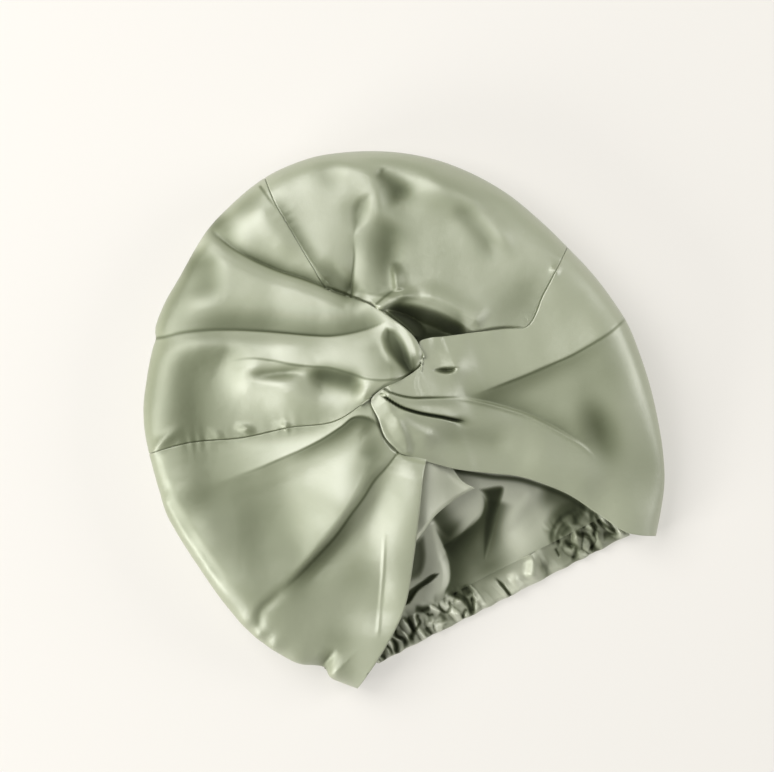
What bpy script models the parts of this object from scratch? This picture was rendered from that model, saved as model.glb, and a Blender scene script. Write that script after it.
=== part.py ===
"""Satin sleep bonnet with a twisted front, lying on its back.

The mouth faces -Y, the crown points to +Y and the twist is on top, towards +Z. The origin is on
the surface that the bonnet lies on, under the middle of its outline. Sizes and plan places are in
millimetres, and turn into metres where a mesh is made.

Each cloth panel is a fan between four plan routes: an inner one at the twist, an outer one on the
widest line of the bonnet (the rim) and two sides. The fan follows the puffed dome, goes round the
rim and comes back under the bonnet to the seam of the back panel. Sides are seams, whose cloth is
turned down into an allowance, or lips, whose cloth is rolled back under itself.
"""

import math
from typing import NamedTuple

import bmesh
import bpy
import numpy as np

MM = 0.001

# Driving dimensions
WALL = 1.2
SEAM_GAP = 0.5
MESH_SIZE = 11.3
COLUMN_SHARE = 0.75

# The puffed form
RIM_HEIGHT = 20.0
CORNER_HEIGHT = 7.0
CORNER_REACH = 60.0
SHOULDER = 55.0
PLATEAU = 50.0
MOUTH_PLATEAU = 24.0
PLATEAU_END = -40.0
MOUTH_END = -163.0
MIDDLE = (2.95, -0.2, 0.0)
TWIST = (6.0, 0.0)
TWIST_RISE = 17.0
TWIST_REACH = 48.0
UNDER_INSET = 14.0
UNDER_STEPS = 4
BACK_SEAM = 30.0
FAN_REACH = 155.0
BACK_GAP = 0.9
REACH_STEP = 0.03
NAPE_STATIONS = 12

# Edges: a lip is rolled round this radius and comes back under itself, a seam turns down
LIP_RADIUS = 3.0
LIP_RETURN = 8.0
LIP_EASE = 0.08
NO_LIP = (1.5, 2.0)
HEM_LIP_END = 0.92
EDGE_PUFF = 2.5
STRAP_PUFF = 1.5
PUFF_WIDTH = 8.0
SEAM_DEPTH = 5.0
SEAM_ROUND = 2.0
TURN_PLACES = 3
CORNER_FADE = 30.0
CORNER_TURN = 0.15
MOUTH_CORNERS = -150.0

# How far a panel lies under the one that covers its edge, and how softly it comes up beside it
UNDER_WING = 10.5
UNDER_LOOP = 11.0
UNDER_STRAP = 11.5
WING_UNDER_LOOP = 6.0
SHARP_EASE = 4.0
WING_EASE = 5.0
STRAP_EASE = 6.0
LOOP_EASE = 8.0

# Stations for measuring a route, a row and a section
ROUTE_STATIONS = 40
WIDTH_STATIONS = 24
SECTION_STATIONS = 400

# Plan places that several routes share
LEFT_CORNER = (-100.0, -163.0)
RIGHT_CORNER = (120.0, -163.0)
LEFT_RIM = (-150.5, 36.0)
TOP_RIM = (-1.5, 162.0)
RIGHT_RIM = (153.5, 32.0)
LOOP_TOP = (2.0, 78.0)
LOOP_END = (37.5, 9.0)
TWIST_LEFT = (-6.0, 3.0)
TWIST_TIP = (5.0, 5.0)
HEM_TOP = (-4.0, -38.0)

# The rim, seen from above, from the left corner over the crown to the right corner
RIM = (
    LEFT_CORNER, (-113, -146), (-126, -131), (-145, -98), (-155, -47), (-158.5, -8), (-156, 12),
    LEFT_RIM, (-140, 65), (-114, 101), (-80, 130), (-50, 149), (-22, 159), TOP_RIM, (35, 159.5),
    (70, 145), (105, 120), (135, 80), RIGHT_RIM, (163, -10), (164.5, -40), (155, -95), (141, -135),
    RIGHT_CORNER,
)  # fmt: skip

CENTRE_SEAM = (LOOP_TOP, (0, 95), (-2, 125), (-3, 143), TOP_RIM)
LOOP_EDGE = (LOOP_END, (38, 23), (30, 43), (20, 59), (12, 67))
LEFT_SEAM = (TWIST_LEFT, (-32, 0), (-60, 9.5), (-90, 17.5), (-125, 31), LEFT_RIM)
LEFT_SIDE_SEAM = ((-6.5, 1.8), (-32, -0.4), *LEFT_SEAM[2:])
RIGHT_SEAM = ((104, -2), (125, 12), RIGHT_RIM)
RIGHT_TOP_EDGE = (
    TWIST_TIP, (20, 4.5), (32, 6), (40.5, 10), (40.5, 17), (43.5, 20.5), (54, 17), (75, 9.5), (92, 3),
)  # fmt: skip
RIGHT_HEM = (HEM_TOP, (8, -50), (40, -75), (70, -99), (104, -152), RIGHT_CORNER)
STRAP_EDGE = (TWIST_TIP, (-5.5, 2), (-7, -12), (-8.5, -23), HEM_TOP)
STRAP_CREST = ((-4, -36), (-8, -22), (-6, 3), (18, 4))
LEFT_HEM = ((13, -45), (8, -50), (-20, -91), (-50, -131), (-80, -153), LEFT_CORNER)
LOOP_UNDER = (LOOP_END, (25, 3), (10, 1), TWIST_LEFT)
LEFT_SIDE_UNDER = (LEFT_SIDE_SEAM[0], (-1, -8), (-2, -24), (4, -36), (13, -45))
CROWN_UNDER = (LOOP_TOP, (8, 60), (24, 38), (36, 12), (60, 4), (104, -2))

class Fold(NamedTuple):
    """A crease or roll along a plan route. Left and right are seen walking from its first point."""

    route: tuple
    height: float
    left: float
    right: float
    fade_in: float = 0.3
    fade_out: float = 0.3


# Folds of the left crown: the three long creases that run from the rim into the loop
LEFT_CROWN_FOLDS = (
    Fold(((-46, 140), (-18, 100), (0, 80)), -6, 14, 14, 0.2, 0.4),
    Fold(((-113, 100), (-65, 81), (-20, 56), (22, 44)), -9, 16, 12, 0.05, 0.4),
    Fold(((-80, 70), (-40, 44), (0, 13)), -5, 10, 10, 0.4, 0.3),
    Fold(((-8, 25), (-46, 29)), -6, 11, 12),
    Fold(((23, 40), (25, 10)), -7, 8, 8),
    Fold(((-90, 55), (-50, 20), (-25, 8)), 5, 14, 16),
)

# Folds of the right crown: the pleat beside the loop, the pocket under the twist, the peak
RIGHT_CROWN_FOLDS = (
    Fold(((8, 66), (28, 90), (38, 116), (56, 124)), -6, 16, 16, 0.0, 0.4),
    Fold(((24, 54), (48, 54), (72, 30), (84, 10)), 5, 12, 12),
    Fold(((26, 44), (50, 32), (84, 2)), -16, 16, 16, 0.0, 0.3),
    Fold(((66, 132), (72, 104)), -5, 14, 14),
    Fold(((110, 20), (114, 95)), 3, 16, 16),
)

# Folds of the left side: two laps that run to the twist, the soft swell and the hem band
LEFT_SIDE_FOLDS = (
    Fold(((-10, -12), (-30, -6), (-80, -7), (-130, 3)), -8, 16, 9, 0.1, 0.3),
    Fold(((-28, -22), (-85, -58)), 6, 20, 20),
    Fold(((-5, -38), (-38, -54), (-80, -74), (-134, -93)), -8, 16, 10, 0.1, 0.2),
    Fold(((-34, -76), (-66, -128)), -4, 10, 10, 0.3, 0.2),
)

# Folds of the right side: the two slits at the twist, the long roll to the rim, the lower band
RIGHT_SIDE_FOLDS = (
    Fold(((4, 2), (13, -15), (43, -40)), -10, 6, 6, 0.1, 0.3),
    Fold(((6, 3), (20, -10), (58, -29)), -5, 6, 6, 0.1, 0.4),
    Fold(((44, -24), (90, -29), (160, -26)), 4, 14, 16, 0.3, 0.1),
    Fold(((58, -40), (110, -50), (158, -52)), -6, 16, 24, 0.3, 0.1),
    Fold(((45, -26), (75, -44), (102, -78), (109, -100)), 6, 14, 20),
    Fold(((118, -76), (118, -100)), -6, 16, 16),
    Fold(((49, 8), (54, -2)), -4, 7, 7),
)

# The lining bunched on the back, seen through the mouth
LINING_CORNERS = ((-64.0, -133.6), (90.0, -133.6), (-16.0, -50.0), (54.0, -58.0))
LINING_LEFT = (LINING_CORNERS[0], (-36, -94), LINING_CORNERS[2])
LINING_RIGHT = (LINING_CORNERS[1], (84, -98), LINING_CORNERS[3])
LINING_LOW = 2.9
LINING_HIGH = 15.0
LINING_ROWS = 13
LINING_COLUMNS = 20
LINING_FOLDS = (
    Fold(((-6, -78), (-14, -108), (-32, -130)), 9, 8, 10, 0.2, 0.2),
    Fold(((14, -76), (14, -104)), 7, 12, 12),
    Fold(((32, -82), (56, -100), (36, -118), (40, -130)), 7, 9, 10, 0.2, 0.2),
)

# The gathered casing along the nape: its ends follow the hems, its top stands in ruffles
CASING_ENDS = ((-75.0, 102.0), (-60.0, 89.0))
CASING_NAPE = -155.0
CASING_SEAM = -134.4
CASING_HEIGHT = 5.5
CASING_RUFFLE = 1.8
CASING_SWELL = 1.0
CASING_SHOULDER = 0.7
CASING_PITCH = 17.0
RUFFLE_STATIONS = 4

# The turned-in flap under the twist
FLAP_CORNERS = ((-8.0, -46.0), (15.0, -50.0), (-27.0, -91.0), (36.0, -79.0))
FLAP_LEFT = (FLAP_CORNERS[0], (-13, -66), FLAP_CORNERS[2])
FLAP_RIGHT = (FLAP_CORNERS[1], (29, -63), FLAP_CORNERS[3])
FLAP_EDGE = (FLAP_CORNERS[2], (-15, -90), (4, -82), FLAP_CORNERS[3])
FLAP_HEIGHT = 40.4
FLAP_FALL = 8.0
FLAP_STEPS = 6

SAGE = (0.40, 0.44, 0.31, 1.0)
SATIN_ROUGHNESS = 0.4


class Route:
    """A smooth plan curve through a few points, measured along its length."""

    def __init__(self, points, steps=12):
        spots = np.array(points, float)
        gaps = np.diff(spots, axis=0)
        lengths = np.linalg.norm(gaps, axis=1)
        slopes = gaps / lengths[:, None]
        heads, tails = lengths[:-1, None], lengths[1:, None]
        bends = (slopes[:-1] * tails + slopes[1:] * heads) / (heads + tails)
        turns = np.vstack([slopes[:1], bends, slopes[-1:]])
        t = np.linspace(0, 1, steps, endpoint=False)[None, :, None]
        first, last = spots[:-1, None], spots[1:, None]
        stretch = lengths[:, None, None]
        curve = (
            (2 * t**3 - 3 * t**2 + 1) * first
            + (t**3 - 2 * t**2 + t) * turns[:-1, None] * stretch
            + (3 * t**2 - 2 * t**3) * last
            + (t**3 - t**2) * turns[1:, None] * stretch
        )
        self.places = np.vstack([curve.reshape(-1, 2), spots[-1:]])
        self.steps = np.diff(self.places, axis=0)
        self.sizes = np.linalg.norm(self.steps, axis=1)
        self.marks = np.concatenate([[0], np.cumsum(self.sizes)])
        self.length = self.marks[-1]

    def at(self, share):
        """Places at these shares of the length."""
        run = np.asarray(share) * self.length
        return np.stack([np.interp(run, self.marks, self.places[:, k]) for k in (0, 1)], axis=-1)

    def share_of(self, spot):
        """Share of the length where the route comes nearest to a point."""
        _, share = self.measure(np.array([spot], float))
        return float(share[0])

    def part(self, first, last):
        """The stretch of the route between two of its points, as points for a new route."""
        stops = np.linspace(self.share_of(first), self.share_of(last), ROUTE_STATIONS)
        return Line(self.at(stops))

    def measure(self, places):
        """Signed distance (left is positive) and share of the length, for each place."""
        flat = places.reshape(-1, 2)
        rel = flat[:, None, :] - self.places[None, :-1, :]
        along = np.clip((rel * self.steps).sum(-1) / self.sizes**2, 0, 1)
        away = rel - along[..., None] * self.steps
        square = (away**2).sum(-1)
        near = square.argmin(axis=1)
        pick = np.arange(len(flat))
        gap = away[pick, near]
        step = self.steps[near]
        side = np.where(step[:, 0] * gap[:, 1] - step[:, 1] * gap[:, 0] >= 0, 1.0, -1.0)
        share = (self.marks[near] + along[pick, near] * self.sizes[near]) / self.length
        shape = places.shape[:-1]
        return (np.sqrt(square[pick, near]) * side).reshape(shape), share.reshape(shape)


class Line(Route):
    """A route whose points are already close together, joined by straight steps."""

    def __init__(self, points):
        self.places = np.array(points, float)
        self.steps = np.diff(self.places, axis=0)
        self.sizes = np.linalg.norm(self.steps, axis=1)
        self.marks = np.concatenate([[0], np.cumsum(self.sizes)])
        self.length = self.marks[-1]


def ease(share):
    """Smooth rise from 0 to 1."""
    t = np.clip(share, 0, 1)
    return t * t * (3 - 2 * t)


def fold_lift(fold, places):
    """How far a fold lifts the cloth at each plan place."""
    away, share = Route(fold.route).measure(places)
    width = np.where(away > 0, fold.left, fold.right)
    lift = fold.height * np.exp(-((away / width) ** 2))
    if fold.fade_in:
        lift = lift * ease(share / fold.fade_in)
    if fold.fade_out:
        lift = lift * ease((1 - share) / fold.fade_out)
    return lift


def rim_height(share, rim):
    """Height of the widest line, lower towards the two corners of the mouth."""
    run = np.minimum(share, 1 - share) * rim.length
    return CORNER_HEIGHT + (RIM_HEIGHT - CORNER_HEIGHT) * ease(run / CORNER_REACH)


def dome(places, rim):
    """Height of the puffed form over each plan place."""
    away, share = rim.measure(places)
    fall = ease((PLATEAU_END - places[..., 1]) / (PLATEAU_END - MOUTH_END))
    from_twist = np.linalg.norm(places - np.array(TWIST), axis=-1)
    top = PLATEAU + (MOUTH_PLATEAU - PLATEAU) * fall
    top = top + TWIST_RISE * np.exp(-((from_twist / TWIST_REACH) ** 2))
    shoulder = np.clip(np.abs(away) / SHOULDER, 0, 1)
    low = rim_height(share, rim)
    return low + (top - low) * np.sqrt(1 - (1 - shoulder) ** 2)


class Patch(NamedTuple):
    """Four plan routes: two across, inner and outer, and two outwards, start and end."""

    inner: Route
    outer: Route
    start: Route
    end: Route


class Panel(NamedTuple):
    """One cloth panel: its four routes, which edges are lips, and how it sits in the twist."""

    name: str
    inner: Route
    outer: Route
    start: Route
    end: Route
    start_lip: tuple
    end_lip: tuple
    inner_lip: bool
    folds: tuple
    tucks: tuple
    lifts: tuple


class Tuck(NamedTuple):
    """Cloth within a reach on the left of a route lies this much lower, easing out beyond it."""

    route: tuple
    depth: float
    ease_out: float
    reach: float = 25.0


def fan(panel, across, out):
    """Plan place between the four routes, at shares across and outwards."""
    first, last = panel.start.at(out), panel.end.at(out)
    low, high = panel.inner.at(across), panel.outer.at(across)
    a, b = across[..., None], out[..., None]
    corners = (
        (1 - a) * (1 - b) * panel.inner.at(0.0)
        + a * (1 - b) * panel.inner.at(1.0)
        + (1 - a) * b * panel.outer.at(0.0)
        + a * b * panel.outer.at(1.0)
    )
    return (1 - b) * low + b * high + (1 - a) * first + a * last - corners


def local_reach(panel, across, low, high):
    """Millimetres for each unit of share outwards, between two shares near an end of the fan."""
    step = fan(panel, across, np.full_like(across, high)) - fan(
        panel, across, np.full_like(across, low)
    )
    return np.linalg.norm(step, axis=-1) / (high - low)


def edge_path(lip):
    """Inset and depth along a side, from its hidden end round to the top of the cloth."""
    turn = np.linspace(math.pi, 0, TURN_PLACES)
    lip_inset = np.append(LIP_RETURN, LIP_RADIUS * (1 - np.sin(turn)))
    lip_depth = np.append(2 * LIP_RADIUS, LIP_RADIUS * (1 - np.cos(turn)))
    slope = np.linspace(math.pi / 2, 0, TURN_PLACES)
    seam_inset = np.append(SEAM_GAP, SEAM_GAP + SEAM_ROUND * (1 - np.sin(slope)))
    seam_depth = np.append(SEAM_DEPTH, SEAM_ROUND * (1 - np.cos(slope)))
    mix = np.asarray(lip)[:, None]
    return mix * lip_inset + (1 - mix) * seam_inset, mix * lip_depth + (1 - mix) * seam_depth


def section():
    """Shares outwards of a panel's rows over the top of the form, evenly along its slope."""
    inset = np.linspace(0, FAN_REACH, SECTION_STATIONS)
    shoulder = np.clip(inset / SHOULDER, 0, 1)
    height = RIM_HEIGHT + (PLATEAU - RIM_HEIGHT) * np.sqrt(1 - (1 - shoulder) ** 2)
    run = np.concatenate([[0], np.cumsum(np.hypot(np.diff(inset), np.diff(height)))])
    count = round(run[-1] / MESH_SIZE)
    top = np.interp(np.linspace(run[-1], 0, count + 1), run, inset)
    return 1 - top / FAN_REACH


def panel_grid(panel, rim):
    """Places of a panel's outer face, row by row from the twist to the seam of the back."""
    rows_top = section()
    inner_count = TURN_PLACES if panel.inner_lip else 0
    swing = np.linspace(0, math.pi / 2, UNDER_STEPS + 1)[1:]
    under_share = np.append(1 - np.sin(swing), 0.0)
    columns = round(COLUMN_SHARE * panel.outer.length / MESH_SIZE)

    top_out = np.concatenate([np.zeros(inner_count), rows_top, np.ones(len(under_share))])
    stations = np.linspace(0, 1, WIDTH_STATIONS)[None, :]
    steps = np.diff(fan(panel, stations, top_out[:, None] * np.ones(WIDTH_STATIONS)), axis=1)
    width = np.linalg.norm(steps, axis=-1).sum(axis=1)
    start_inset, start_depth = edge_path(lip_share(panel.start_lip, top_out))
    end_inset, end_depth = edge_path(lip_share(panel.end_lip, top_out))
    start_share = start_inset / width[:, None]
    end_share = 1 - end_inset[:, ::-1] / width[:, None]
    inside = np.linspace(0, 1, columns + 1)[None, 1:-1]
    middle = start_share[:, -1:] * (1 - inside) + end_share[:, :1] * inside
    across = np.hstack([start_share, middle, end_share])
    depth = np.hstack([start_depth, np.zeros_like(middle), end_depth[:, ::-1]])

    rim_reach = local_reach(panel, across[-1], 1 - REACH_STEP, 1.0)
    twist_reach = local_reach(panel, across[0], 0.0, 1.0)
    out = np.repeat(top_out[:, None], across.shape[1], axis=1)
    if inner_count:
        inner_inset, inner_depth = edge_path(np.ones(1))
        out[:inner_count] = inner_inset[0, :-1, None] / twist_reach
        depth[:inner_count] = np.hypot(depth[:inner_count], inner_depth[0, :-1, None])
        out[inner_count:] += (1 - out[inner_count:]) * LIP_RADIUS / twist_reach
    rim_row = inner_count + len(rows_top) - 1
    low = rim_height(rim.measure(fan(panel, across[rim_row], out[rim_row]))[1], rim)
    inset = UNDER_INSET * (low / RIM_HEIGHT) * (1 - np.cos(swing))[:, None]
    inset = np.vstack([inset, np.full((1, across.shape[1]), BACK_SEAM)])
    out[rim_row + 1 :] = 1 - inset / rim_reach

    if panel.end.at(1.0)[1] < MOUTH_CORNERS:
        from_corner = np.abs(1 - out[:, -1:]) * panel.end.length
        depth *= CORNER_TURN + (1 - CORNER_TURN) * ease(from_corner / CORNER_FADE)

    plan = fan(panel, across, out)
    height = dome(plan, rim)
    smooth = np.dstack([plan, height])
    smooth[rim_row + 1 :, :, 2] *= under_share[:, None]
    for fold in panel.folds:
        height += fold_lift(fold, plan)
    for tuck in panel.tucks:
        away, _ = Route(tuck.route).measure(plan)
        beyond = np.maximum(-away, away - tuck.reach).clip(min=0)
        height -= tuck.depth * np.exp(-((beyond / tuck.ease_out) ** 2))
    for lift in panel.lifts:
        height += fold_lift(lift, plan)
    height[rim_row + 1 :] = height[rim_row] * under_share[:, None]

    grid = np.dstack([plan, height])
    first, last = start_share.shape[1] - 1, across.shape[1] - end_share.shape[1]
    solid = smooth[inner_count:, first : last + 1]
    normal = np.cross(np.gradient(solid, axis=1), np.gradient(solid, axis=0))
    normal /= np.linalg.norm(normal, axis=-1, keepdims=True)
    if normal[len(rows_top) // 2, normal.shape[1] // 2, 2] < 0:
        normal = -normal
    pads = ((inner_count, 0), (first, across.shape[1] - 1 - last), (0, 0))
    return grid - np.pad(normal, pads, mode="edge") * depth[..., None]


def lip_share(stretch, out):
    """How much of a side is a lip, row by row, easing to a seam at both ends of its stretch."""
    begin, finish = stretch
    return ease((out - begin) / LIP_EASE) * ease((finish - out) / LIP_EASE)


def satin(name):
    """Plain satin in the bonnet's sage green."""
    material = bpy.data.materials.new(name)
    material.use_nodes = True
    shader = material.node_tree.nodes["Principled BSDF"]
    shader.inputs["Base Color"].default_value = SAGE
    shader.inputs["Roughness"].default_value = SATIN_ROUGHNESS
    shader.inputs["Metallic"].default_value = 0.0
    return material


def cloth(name, grid):
    """A cloth wall whose outer face goes through a grid of places."""
    rows, columns = grid.shape[:2]
    places = (grid - MIDDLE) * MM
    sheet = bmesh.new()
    bmesh.ops.create_grid(sheet, x_segments=columns - 1, y_segments=rows - 1, size=0.5)
    for corner in sheet.verts:
        column = round((corner.co.x + 0.5) * (columns - 1))
        row = round((corner.co.y + 0.5) * (rows - 1))
        corner.co = places[row, column]
    sheet.normal_update()
    highest = max(sheet.faces, key=lambda face: face.calc_center_median().z)
    if highest.normal.z < 0:
        bmesh.ops.reverse_faces(sheet, faces=sheet.faces)
    return cloth_piece(name, sheet)


def cloth_piece(name, sheet):
    """The object of a cloth sheet, with its satin and its wall towards the inside."""
    mesh = bpy.data.meshes.new(name)
    sheet.to_mesh(mesh)
    sheet.free()
    mesh.materials.append(satin(f"{name}_satin"))
    mesh.shade_smooth()
    piece = bpy.data.objects.new(name, mesh)
    bpy.context.collection.objects.link(piece)
    wall = piece.modifiers.new("wall", "SOLIDIFY")
    wall.thickness = WALL * MM
    wall.offset = -1
    return piece


def joined(*stretches):
    """One route through the points of several, without the points they share."""
    points = [stretches[0][0]]
    for stretch in stretches:
        points += [point for point in stretch if point != points[-1]]
    return Route(points)


def bonnet_panels(rim):
    """The four panels of the front, each round the rim to the seam of the back."""
    loop_side = joined(LOOP_EDGE, CENTRE_SEAM)
    right_side_top = joined(RIGHT_TOP_EDGE, RIGHT_SEAM)
    return (
        Panel(
            "left_crown", Route(LOOP_UNDER), rim.part(TOP_RIM, LEFT_RIM), loop_side,
            Route(LEFT_SEAM),
            (-LIP_EASE, loop_side.share_of(LOOP_TOP)), NO_LIP, False, LEFT_CROWN_FOLDS,
            (Tuck(((43, 16), (34, 14), (24, 9), (5, 10), (-5, 8)), UNDER_WING, WING_EASE),),
            (Fold(LOOP_EDGE, EDGE_PUFF, PUFF_WIDTH, PUFF_WIDTH, 0.1, 0.2),),
        ),
        Panel(
            "right_crown", Route(CROWN_UNDER), rim.part(TOP_RIM, RIGHT_RIM),
            Route(CENTRE_SEAM), Route(RIGHT_SEAM),
            NO_LIP, NO_LIP, False, RIGHT_CROWN_FOLDS,
            (
                Tuck(((40, 16), (30, 44), (12, 68), (2, 80)), UNDER_LOOP, LOOP_EASE),
                Tuck(((108, -4), (92, 4), (62, 12), (36, 24)), UNDER_LOOP, LOOP_EASE),
            ),
            (),
        ),
        Panel(
            "right_side", Route(STRAP_EDGE), rim.part(RIGHT_RIM, RIGHT_CORNER), right_side_top,
            Route(RIGHT_HEM),
            (right_side_top.share_of((42, 20)), right_side_top.share_of(RIGHT_SEAM[0])),
            (-LIP_EASE / 2, HEM_LIP_END), True, RIGHT_SIDE_FOLDS,
            (Tuck(((43, 8), (41, 26)), WING_UNDER_LOOP, SHARP_EASE, 6.0),),
            (
                Fold(RIGHT_TOP_EDGE[5:], EDGE_PUFF, PUFF_WIDTH, PUFF_WIDTH, 0.1, 0.2),
                Fold(STRAP_CREST, STRAP_PUFF, PUFF_WIDTH, PUFF_WIDTH, 0.1, 0.2),
            ),
        ),
        Panel(
            "left_side", Route(LEFT_SIDE_UNDER), rim.part(LEFT_RIM, LEFT_CORNER),
            Route(LEFT_SIDE_SEAM),
            Route(LEFT_HEM), NO_LIP, (-LIP_EASE, HEM_LIP_END), False, LEFT_SIDE_FOLDS,
            (Tuck(((-6, 8), (-10, -24), (-3, -40), (18, -60)), UNDER_STRAP, STRAP_EASE),), (),
        ),
    )  # fmt: skip


def back_outline(grids):
    """Plan outline of the back: the panels' last rows, drawn in by a gap, and the nape."""
    edges = [grid[-1, TURN_PLACES:-TURN_PLACES, :2] for grid in grids]
    around = np.vstack([edges[3][::-1], edges[0][::-1], edges[1], edges[2]])
    around = around[around[:, 1] > CASING_SEAM + BACK_GAP]
    inward = around.mean(axis=0) - around
    around = around + inward / np.linalg.norm(inward, axis=1, keepdims=True) * BACK_GAP
    nape = np.linspace(around[-1], around[0], NAPE_STATIONS)[1:-1]
    nape[:, 1] = CASING_SEAM + BACK_GAP
    return np.vstack([around, nape])


def flat_cloth(name, outline):
    """A flat cloth wall that lies on the surface."""
    sheet = bmesh.new()
    bmesh.ops.create_circle(sheet, cap_ends=True, segments=len(outline), radius=1)
    for corner, (x, y) in zip(sheet.verts, (outline - MIDDLE[:2]) * MM):
        corner.co = (x, y, WALL * MM)
    sheet.normal_update()
    for face in sheet.faces:
        if face.normal.z < 0:
            face.normal_flip()
    return cloth_piece(name, sheet)


def lining_grid():
    """The bunched lining, rising from the nape towards the inside."""
    nape = Line([LINING_CORNERS[0], LINING_CORNERS[1]])
    inside = Line([LINING_CORNERS[2], LINING_CORNERS[3]])
    patch = Patch(nape, inside, Route(LINING_LEFT), Route(LINING_RIGHT))
    inwards, across = np.mgrid[0 : 1 : LINING_ROWS * 1j, 0 : 1 : LINING_COLUMNS * 1j]
    plan = fan(patch, across, inwards)
    height = LINING_LOW + (LINING_HIGH - LINING_LOW) * ease(inwards)
    for fold in LINING_FOLDS:
        height += fold_lift(fold, plan)
    return np.dstack([plan, height])


def casing_grid():
    """The casing: flat underneath, round the nape edge and back on top in ruffles."""
    round_y = CASING_NAPE + CASING_HEIGHT / 2
    section_places = (
        (CASING_SEAM, 0.0, 0.0), ((CASING_SEAM + round_y) / 2, 0.0, 0.0), (round_y, 0.0, 0.0),
        (CASING_NAPE, CASING_HEIGHT / 2, 0.0), (round_y, CASING_HEIGHT, CASING_SHOULDER),
        ((CASING_SEAM + round_y) / 2, CASING_HEIGHT + CASING_SWELL, 1.0),
        (CASING_SEAM - CASING_SWELL, CASING_HEIGHT, 1.0),
    )  # fmt: skip
    (nape_left, nape_right), (seam_left, seam_right) = CASING_ENDS
    count = round((nape_right - nape_left) / CASING_PITCH) * RUFFLE_STATIONS
    rows = []
    for y, z, ruffle in section_places:
        share = (y - CASING_NAPE) / (CASING_SEAM - CASING_NAPE)
        left = nape_left + (seam_left - nape_left) * share
        right = nape_right + (seam_right - nape_right) * share
        x = np.linspace(left, right, count + 1)
        wave = np.sin(np.arange(count + 1) * 2 * math.pi / RUFFLE_STATIONS)
        rows.append(np.stack([x, np.full_like(x, y), z + CASING_RUFFLE * ruffle * wave], axis=-1))
    return np.array(rows)


def flap_grid():
    """The flap that hangs inside from under the twist."""
    top = Line([FLAP_CORNERS[0], FLAP_CORNERS[1]])
    patch = Patch(top, Route(FLAP_EDGE), Route(FLAP_LEFT), Route(FLAP_RIGHT))
    down, across = np.mgrid[0 : 1 : FLAP_STEPS * 1j, 0 : 1 : FLAP_STEPS * 1j]
    return np.dstack([fan(patch, across, down), FLAP_HEIGHT - FLAP_FALL * down])


def main():
    """Build every piece of the bonnet."""
    for piece in list(bpy.data.objects):
        bpy.data.objects.remove(piece)
    rim = Route(RIM)
    grids = []
    for panel in bonnet_panels(rim):
        grids.append(panel_grid(panel, rim))
        cloth(panel.name, grids[-1])
    flat_cloth("back_panel", back_outline(grids))
    cloth("lining", lining_grid())
    cloth("nape_casing", casing_grid())
    cloth("twist_facing", flap_grid())


main()
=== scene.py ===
"""Sage satin sleep bonnet with a twisted front, lying on its back in soft studio light.

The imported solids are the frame. Each cloth panel is made again here with its folds, puckers and
rolled edges: a fan between four plan routes, laid over the puffed form, round the rim and back
under the bonnet. Plan places and sizes are in millimetres, and turn into metres in the meshes.
"""

import logging
import math
from dataclasses import dataclass
from enum import Enum

import bmesh
import bpy
import numpy as np
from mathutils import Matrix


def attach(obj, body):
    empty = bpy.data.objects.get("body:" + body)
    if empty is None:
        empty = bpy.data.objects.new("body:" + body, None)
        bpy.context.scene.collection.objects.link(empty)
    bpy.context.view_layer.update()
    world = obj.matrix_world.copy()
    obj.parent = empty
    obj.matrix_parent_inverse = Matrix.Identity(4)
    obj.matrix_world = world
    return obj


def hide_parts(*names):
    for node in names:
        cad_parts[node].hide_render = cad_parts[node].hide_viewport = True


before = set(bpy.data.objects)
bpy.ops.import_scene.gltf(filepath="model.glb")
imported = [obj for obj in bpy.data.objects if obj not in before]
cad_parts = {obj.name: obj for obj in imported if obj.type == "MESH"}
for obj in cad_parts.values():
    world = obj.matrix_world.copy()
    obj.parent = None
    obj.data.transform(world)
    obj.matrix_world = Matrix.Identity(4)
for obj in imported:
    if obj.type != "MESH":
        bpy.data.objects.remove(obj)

log = logging.getLogger("bonnet")

MM = 0.001
MIDDLE = np.array((2.95, -0.2, 0.0))  # the frame's origin, in plan millimetres

Points = tuple[tuple[float, float], ...]

# Plan places that several routes share
LEFT_CORNER = (-100.0, -163.0)
RIGHT_CORNER = (120.0, -163.0)
LEFT_RIM = (-150.5, 36.0)
TOP_RIM = (-1.5, 162.0)
RIGHT_RIM = (153.5, 32.0)
LOOP_TOP = (2.0, 78.0)
LOOP_END = (37.5, 9.0)
TWIST_LEFT = (-6.0, 3.0)
TWIST_TIP = (5.0, 5.0)
HEM_TOP = (-4.0, -38.0)
TWIST = (6.0, 0.0)

# fmt: off
# The widest line of the bonnet, from the left corner of the mouth over the crown to the right one
RIM: Points = (
    LEFT_CORNER, (-107, -155), (-112.5, -147), (-112.5, -141), (-116, -137.5), (-125, -131.5),
    (-135, -118), (-145, -98), (-151.5, -72), (-155, -47), (-158, -18), (-158.5, -6), (-156, 10),
    LEFT_RIM, (-147, 49), (-140, 65), (-130, 80), (-120, 93), (-116, 97.5), (-112.5, 101),
    (-111, 105), (-100, 116.5), (-80, 130), (-62, 142), (-50, 149), (-30, 156), (-12, 160.5),
    TOP_RIM, (20, 161.5), (35, 159), (50, 154), (70, 145), (90, 132.5), (105, 120), (120, 103),
    (135, 80), (145, 57), RIGHT_RIM, (160, 10), (164, -12), (165.5, -30), (164, -50), (160, -75),
    (155, -95), (149, -114), (140, -135), (130, -150), RIGHT_CORNER,
)

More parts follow.
